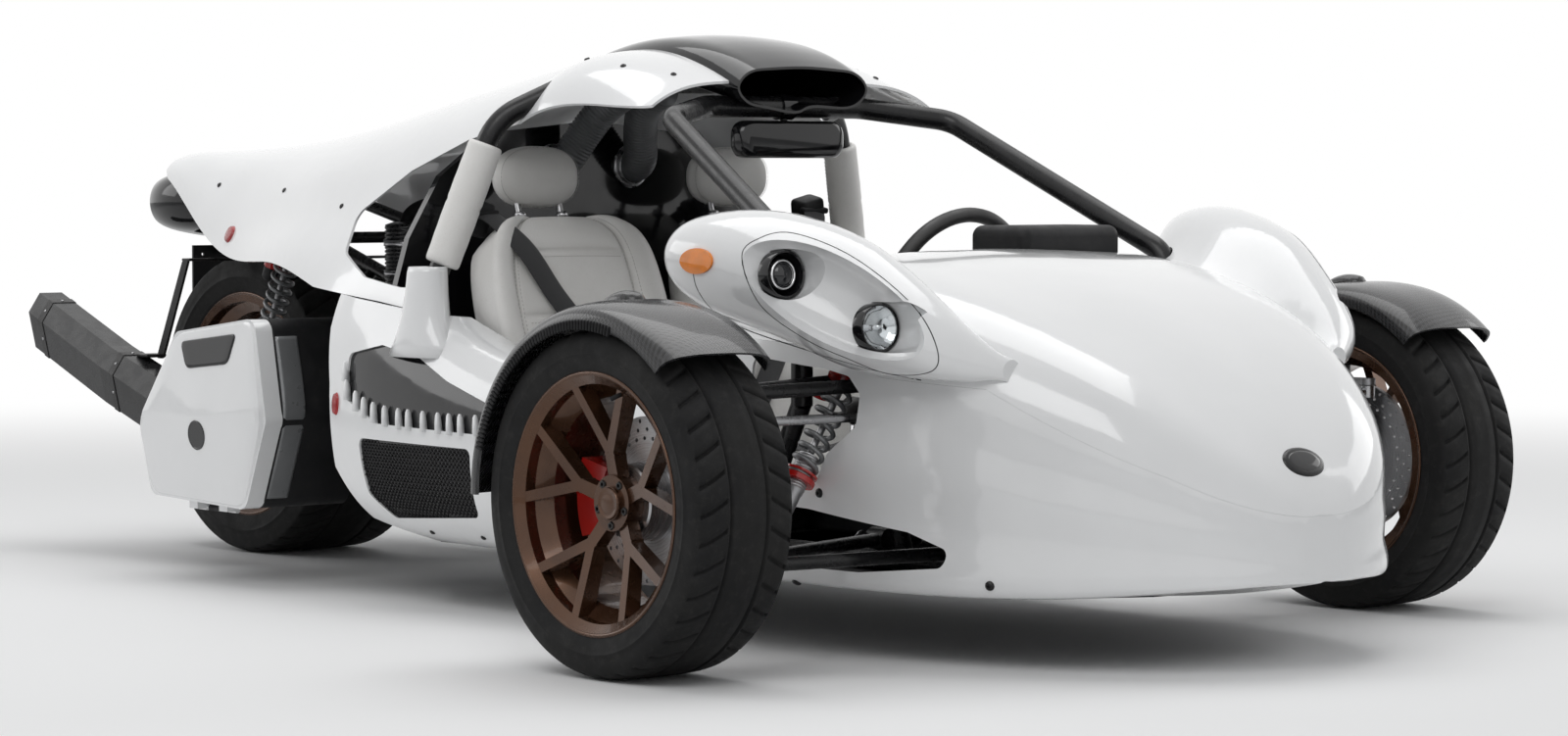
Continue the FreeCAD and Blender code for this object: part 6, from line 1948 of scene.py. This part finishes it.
def linkPlates(half, wide):
    plates = []
    for way in (-1, 1):
        ring = []
        for c, s in ((cos(2 * pi * k / 16), sin(2 * pi * k / 16)) for k in range(16)):
            ring.append(Vector((copysign(half * 0.98, c) + c * 0.0068, way * wide,
                                s * (0.0068 - 0.0014 * (abs(c) < 0.5)))))
        plates.append(loft("plate", [[p + across * d for p in ring] for d in (-0.0009, 0.0009)]))
    return plates


def addChain():
    spots, pitch = chainSpots()
    half = pitch / 2000
    rollers = [closedTurn("roller", chainLook["roller"], (x, 0, 0), across, 12)
               for x in (-half, half)]
    pin = closedTurn("pin", chainLook["pin"], (-half, 0, 0), across, 8)
    meshes = []
    for start, parts in ((0, linkPlates(half, 0.0042) + rollers),
                         (1, linkPlates(half, 0.0062) + [pin])):
        places = []
        for p, way in spots[start::2]:
            heading = Vector((way.x, 0, way.y))
            places.append((at(p.x, chainLook["y"], p.y), heading.cross(across).normalized(),
                           heading))
        meshes.append(scattered("links", joined("link", parts), places, blackSteel))
    obj = piece("chainLinks", joined("links", meshes), blackSteel, smooth=False)
    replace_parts(obj, "chain")


addChain()


def sprocketMesh(centre, radius, teeth, bore, thick=0.0036):
    rim = [(2 * pi / teeth * (i + share), radius - drop)
           for i in range(teeth) for share, drop in chainLook["tooth"]]
    inner = [(turn, bore) for turn, _ in rim]
    rings = []
    for row, y in ((inner, -thick), (rim, -thick), (rim, thick), (inner, thick)):
        rings.append([centre + Vector((sin(turn) * r, y, cos(turn) * r)) for turn, r in row])
    return loft("sprocket", rings, round=True)


def addSprockets():
    rear, drive = (at(x, chainLook["y"], z) for x, z in (chainLook["rear"], chainLook["drive"]))
    big = [sprocketMesh(rear, 0.1068, 41, 0.062),
           closedTurn("carrier", chainLook["carrier"], rear, across, 48)]
    joinedPiece("rearSprocketTeeth", big, brushedSteel, "wheel_rear", sharp=35)
    bolts = []
    for turn in (2 * pi * i / 5 for i in range(5)):
        bolts.append((rear + Vector((sin(turn), 0, cos(turn))) * 0.066 + across * 0.0044, across,
                      ahead))
    scatterPiece("sprocketBolts", boltHead, bolts, blackSteel, "wheel_rear")
    nut = scattered("nut", hexHead(0.016, 0.010, 1.25),
                    [(drive + across * 0.0036, across, ahead)], brushedSteel)
    joinedPiece("driveSprocketTeeth", [sprocketMesh(drive, 0.0438, 17, 0.012), nut], brushedSteel,
                sharp=35)
    # dark dots in the face of the rear brake disc, in rows that lean: painted shade where the disc
    # has dimples
    disc = at(-2335, -175, 325)
    places = []
    for turn, row in ((2 * pi * i / 24, row) for i in range(24) for row in range(4)):
        way = Vector((sin(turn + 0.09 * row), 0, cos(turn + 0.09 * row)))
        places.append((disc + way * (0.085 + 0.011 * row) - across * 0.0031, -across, ahead))
    dimple = closedTurn("dimple", chainLook["dimple"], (0, 0, 0), up, 12)
    scatterPiece("rearDiscDimples", dimple, places, blackSteel, "wheel_rear")


addSprockets()
print("chain and sprockets are made")


# --- mufflers: tip rings, bands and rivets

mufflerLook = {"stations": ((-2080, -334, 250), (-2500, -345, 390), (-2797, -345, 500)),
               "half": (0.056, 0.060), "bands": (0.10, 0.52, 0.93), "end": (-2797, -345, 497),
               "corners": ((-1, 0.3), (-0.5, 1), (0.5, 1), (1, 0.3), (0.7, -1), (-0.7, -1)),
               "band": ((-0.0095, 0.0), (-0.009, 0.0016), (0.009, 0.0016), (0.0095, 0.0)),
               "tip": ((-0.030, 0.030), (-0.030, 0.0335), (0.004, 0.0335), (0.008, 0.0365),
                       (0.0105, 0.0365), (0.0105, 0.0335), (0.004, 0.030)),
               "liner": ((-0.085, 0.0), (-0.085, 0.0295), (-0.001, 0.0295), (-0.001, 0.0275),
                         (-0.080, 0.0275), (-0.080, 0.0)),
               "hanger": ((-2430, 425), (-2405, 425), (-2300, 640), (-2322, 640))}


def addMufflers():
    look = mufflerLook
    a, b, c = (at(*p) for p in look["stations"])
    first, second = (b - a).length, (c - b).length
    half, corners = look["half"], look["corners"]

    def centreAt(run):
        return a.lerp(b, run / first) if run < first else b.lerp(c, (run - first) / second)
    bands, rivets = [], []
    for share in look["bands"]:
        run = share * (first + second)
        rings = [[centreAt(run + d * 1.05) + Vector((0, u * (half[0] + grow), v * (half[1] + grow)))
                  for u, v in corners] for d, grow in look["band"]]
        bands.append(loft("band", rings, caps=False))
        for i, (u, v) in enumerate(corners):
            u2, v2 = corners[(i + 1) % len(corners)]
            p = Vector((0, (u + u2) / 2 * half[0], (v + v2) / 2 * half[1]))
            facing = Vector((0, u2 - u, v2 - v)).cross(ahead).normalized()
            facing = facing if facing.dot(p) > 0 else -facing
            rivets.append((centreAt(run) + p + facing * 0.0016, facing, ahead))
    bands += [sidePlate("hanger", look["hanger"], -300, -294, 6),
              softBox("foot", at(-2420, -318, 432), (0.044, 0.050, 0.008), 0.003, 2),
              softBox("head", at(-2311, -215, 640), (0.030, 0.170, 0.006), 0.002, 2)]
    mirroredPiece("mufflerBands", bands, blackSteel, sharp=30)
    scatterPiece("mufflerRivets", screwMesh(0.0032, 0.0018, 10), mirroredPlaces(rivets),
                 brushedSteel)
    tips = [closedTurn(name, look[name], at(*look["end"]), (-1, 0, 0.35), steps)
            for name, steps in (("tip", 44), ("liner", 36))]
    mirroredPiece("mufflerTips", tips, brushedSteel)


addMufflers()


# --- tail: lamp rings, reflectors, plate lamp

tailLook = {"lamp": (-2650.3, -92, 762), "radius": 0.042, "rings": (0.30, 0.55, 0.80),
            "rim": ((0.0, 0.0422), (0.0, 0.048), (0.010, 0.047), (0.0135, 0.043),
                    (0.0125, 0.041), (0.012, 0.0422)),
            "ring": ((0.0118, -0.002), (0.0132, -0.001), (0.0132, 0.001), (0.0118, 0.002)),
            "bulb": ((0.0118, 0.0), (0.0118, 0.006), (0.0135, 0.005), (0.0145, 0.0)),
            # each side reflector: its node, its pixel and its half sizes
            "reflectors": (("rear_fairing", (235, 239), (19, 19)),
                           ("side_panel_right", (343, 412), (11, 22)))}


def addTail():
    look, back = tailLook, -ahead
    spot = at(*look["lamp"])
    mirroredPiece("tailLampRims", [closedTurn("rim", look["rim"], spot, back, 48)], pianoBlack)
    rings = [closedTurn("ring", [(along, look["radius"] * share + rise)
                                 for along, rise in look["ring"]], spot, back, 40)
             for share in look["rings"]]
    rings.append(closedTurn("bulb", look["bulb"], spot, back, 24))
    mirroredPiece("tailLampRings", rings, redLens)
    markers = []
    for node, pixel, size in look["reflectors"]:
        middle, facing = seen(node, *pixel)
        side = facing.cross(up).normalized()
        markers.append(patchOn("marker", node, middle, side, side.cross(facing), -facing,
                               oval(*size, 2.2), 0.0045, 0.0025))
    mirroredPiece("sideReflectors", markers, redLens)
    plate = [softBox("lampHood", at(-2614, 0, 676), (0.026, 0.070, 0.016), 0.005, 2),
             softBox("rear", at(-2609.5, 0, 545), (0.005, 0.10, 0.020), 0.002, 2)]
    joinedPiece("plateDress", plate, plasticBlack)
    reflector = softBox("reflector", at(-2611, 0, 548), (0.006, 0.080, 0.014), 0.003, 2)
    piece("plateReflector", reflector, redLens)


addTail()
print("tail and mufflers are dressed")


# --- engine: finned head, covers and headers on the plain block

engineLook = {"x": -1420, "top": 557, "fins": 9, "cylinders": (-90, -30, 30, 90), "bolts": 10,
              "cover": ((0.0, 0.0), (0.0, 0.094), (0.014, 0.092), (0.022, 0.084), (0.024, 0.050),
                        (0.030, 0.046), (0.031, 0.0)),
              "plug": ((0.0, 0.0), (0.0, 0.013), (0.016, 0.0115), (0.020, 0.008), (0.030, 0.007),
                       (0.034, 0.0))}


def addEngine():
    look = engineLook
    x, top = look["x"], look["top"]
    coverSpot = at(x - 20, -169.5, 330)
    cast = [softBox("fin", at(x, 0, top + 6 + 9 * i),
                    (0.205 - 0.003 * (i % 2), 0.300 - 0.003 * (i % 2), 0.0045), 0.0018, 1)
            for i in range(look["fins"])]
    cast += [softBox("head", at(x, 0, top + 40), (0.180, 0.276, 0.086), 0.006, 2),
             closedTurn("cover", look["cover"], coverSpot, -across, 56),
             softBox("cover", at(x + 40, 172, 420), (0.140, 0.020, 0.150), 0.012, 3)]
    dark = [softBox("camCover", at(x, 0, top + 104), (0.170, 0.268, 0.042), 0.014, 3)]
    headers = []
    for y in look["cylinders"]:
        dark.append(closedTurn("plug", look["plug"], at(x, y, top + 124), up, 20))
        headers.append(tubeAlong("header", [at(x + 95, y, top + 20), at(x + 122, y, top - 6),
                                            at(x + 128, y * 1.1, top - 120),
                                            at(x + 118, y * 1.1 - 12, top - 200),
                                            at(x + 90, copysign(185, y), 300)], 0.0185))
    for way in (-1, 1):
        line = [at(x + 90, way * 185, 300), at(x + 40, way * 215, 262), at(x - 22, way * 282, 232),
                at(x - 24, way * 292, 222)]
        headers.append(tubeAlong("collector", line, 0.0255, 18))
    bolts = [(coverSpot + wheelWay(2 * pi * i / look["bolts"]) * 0.088 - across * 0.0185, -across,
              up) for i in range(look["bolts"])]
    bolts += [(at(x + dx, y, top + 124.2), up, ahead)
              for dx in (-76, 76) for y in (-118, -60, 0, 60, 118)]
    joinedPiece("engineCastings", cast, castSilver)
    joinedPiece("engineCovers", dark, plasticBlack)
    joinedPiece("exhaustHeaders", headers, brushedSteel)
    scatterPiece("engineBolts", boltHead, bolts, brushedSteel)


addEngine()
print("engine is dressed")


# --- screws along the panels and bolts on the frame

rowLook = {"side_panel_right": ((-700, 150), (-900, 150), (-1060, 150), (-330, 200), (-330, 380)),
           "rear_fairing": ((-1560, 760), (-1900, 790), (-2250, 800)),
           "nose_lower": ((-240, 180), (-240, 330), (-240, 470))}
# pivots on the right side: place from the front axle's middle, and the way that the head faces
pivotLook = (((172.3, -247.5, 180), ahead), ((-172.3, -247.5, 180), -ahead),
             ((92.3, -339.3, 470), ahead), ((-92.3, -339.3, 470), -ahead),
             ((-2170, -247.5, 332), -across), ((-1994.8, -247.5, 689.4), -across),
             ((13.2, -612, 197.9), ahead), ((13.2, -412, 515), ahead),
             ((-2335, -236, 325), -across))


def addFasteners():
    rows = [spotOn(node, at(x, -900, z), across) for node in rowLook for x, z in rowLook[node]]
    rows += [spotOn("roof_panel", at(x, y, 1400), -up)
             for x, y in ((-700, -250), (-800, -290), (-950, -260))]
    addScrews("panelScrews", rows, smallScrew)
    bolts = [(at(*place), way, up) for place, way in pivotLook]
    scatterPiece("pivotBolts", bigBolt, mirroredPlaces(bolts), brushedSteel)


addFasteners()
print("fasteners are in")
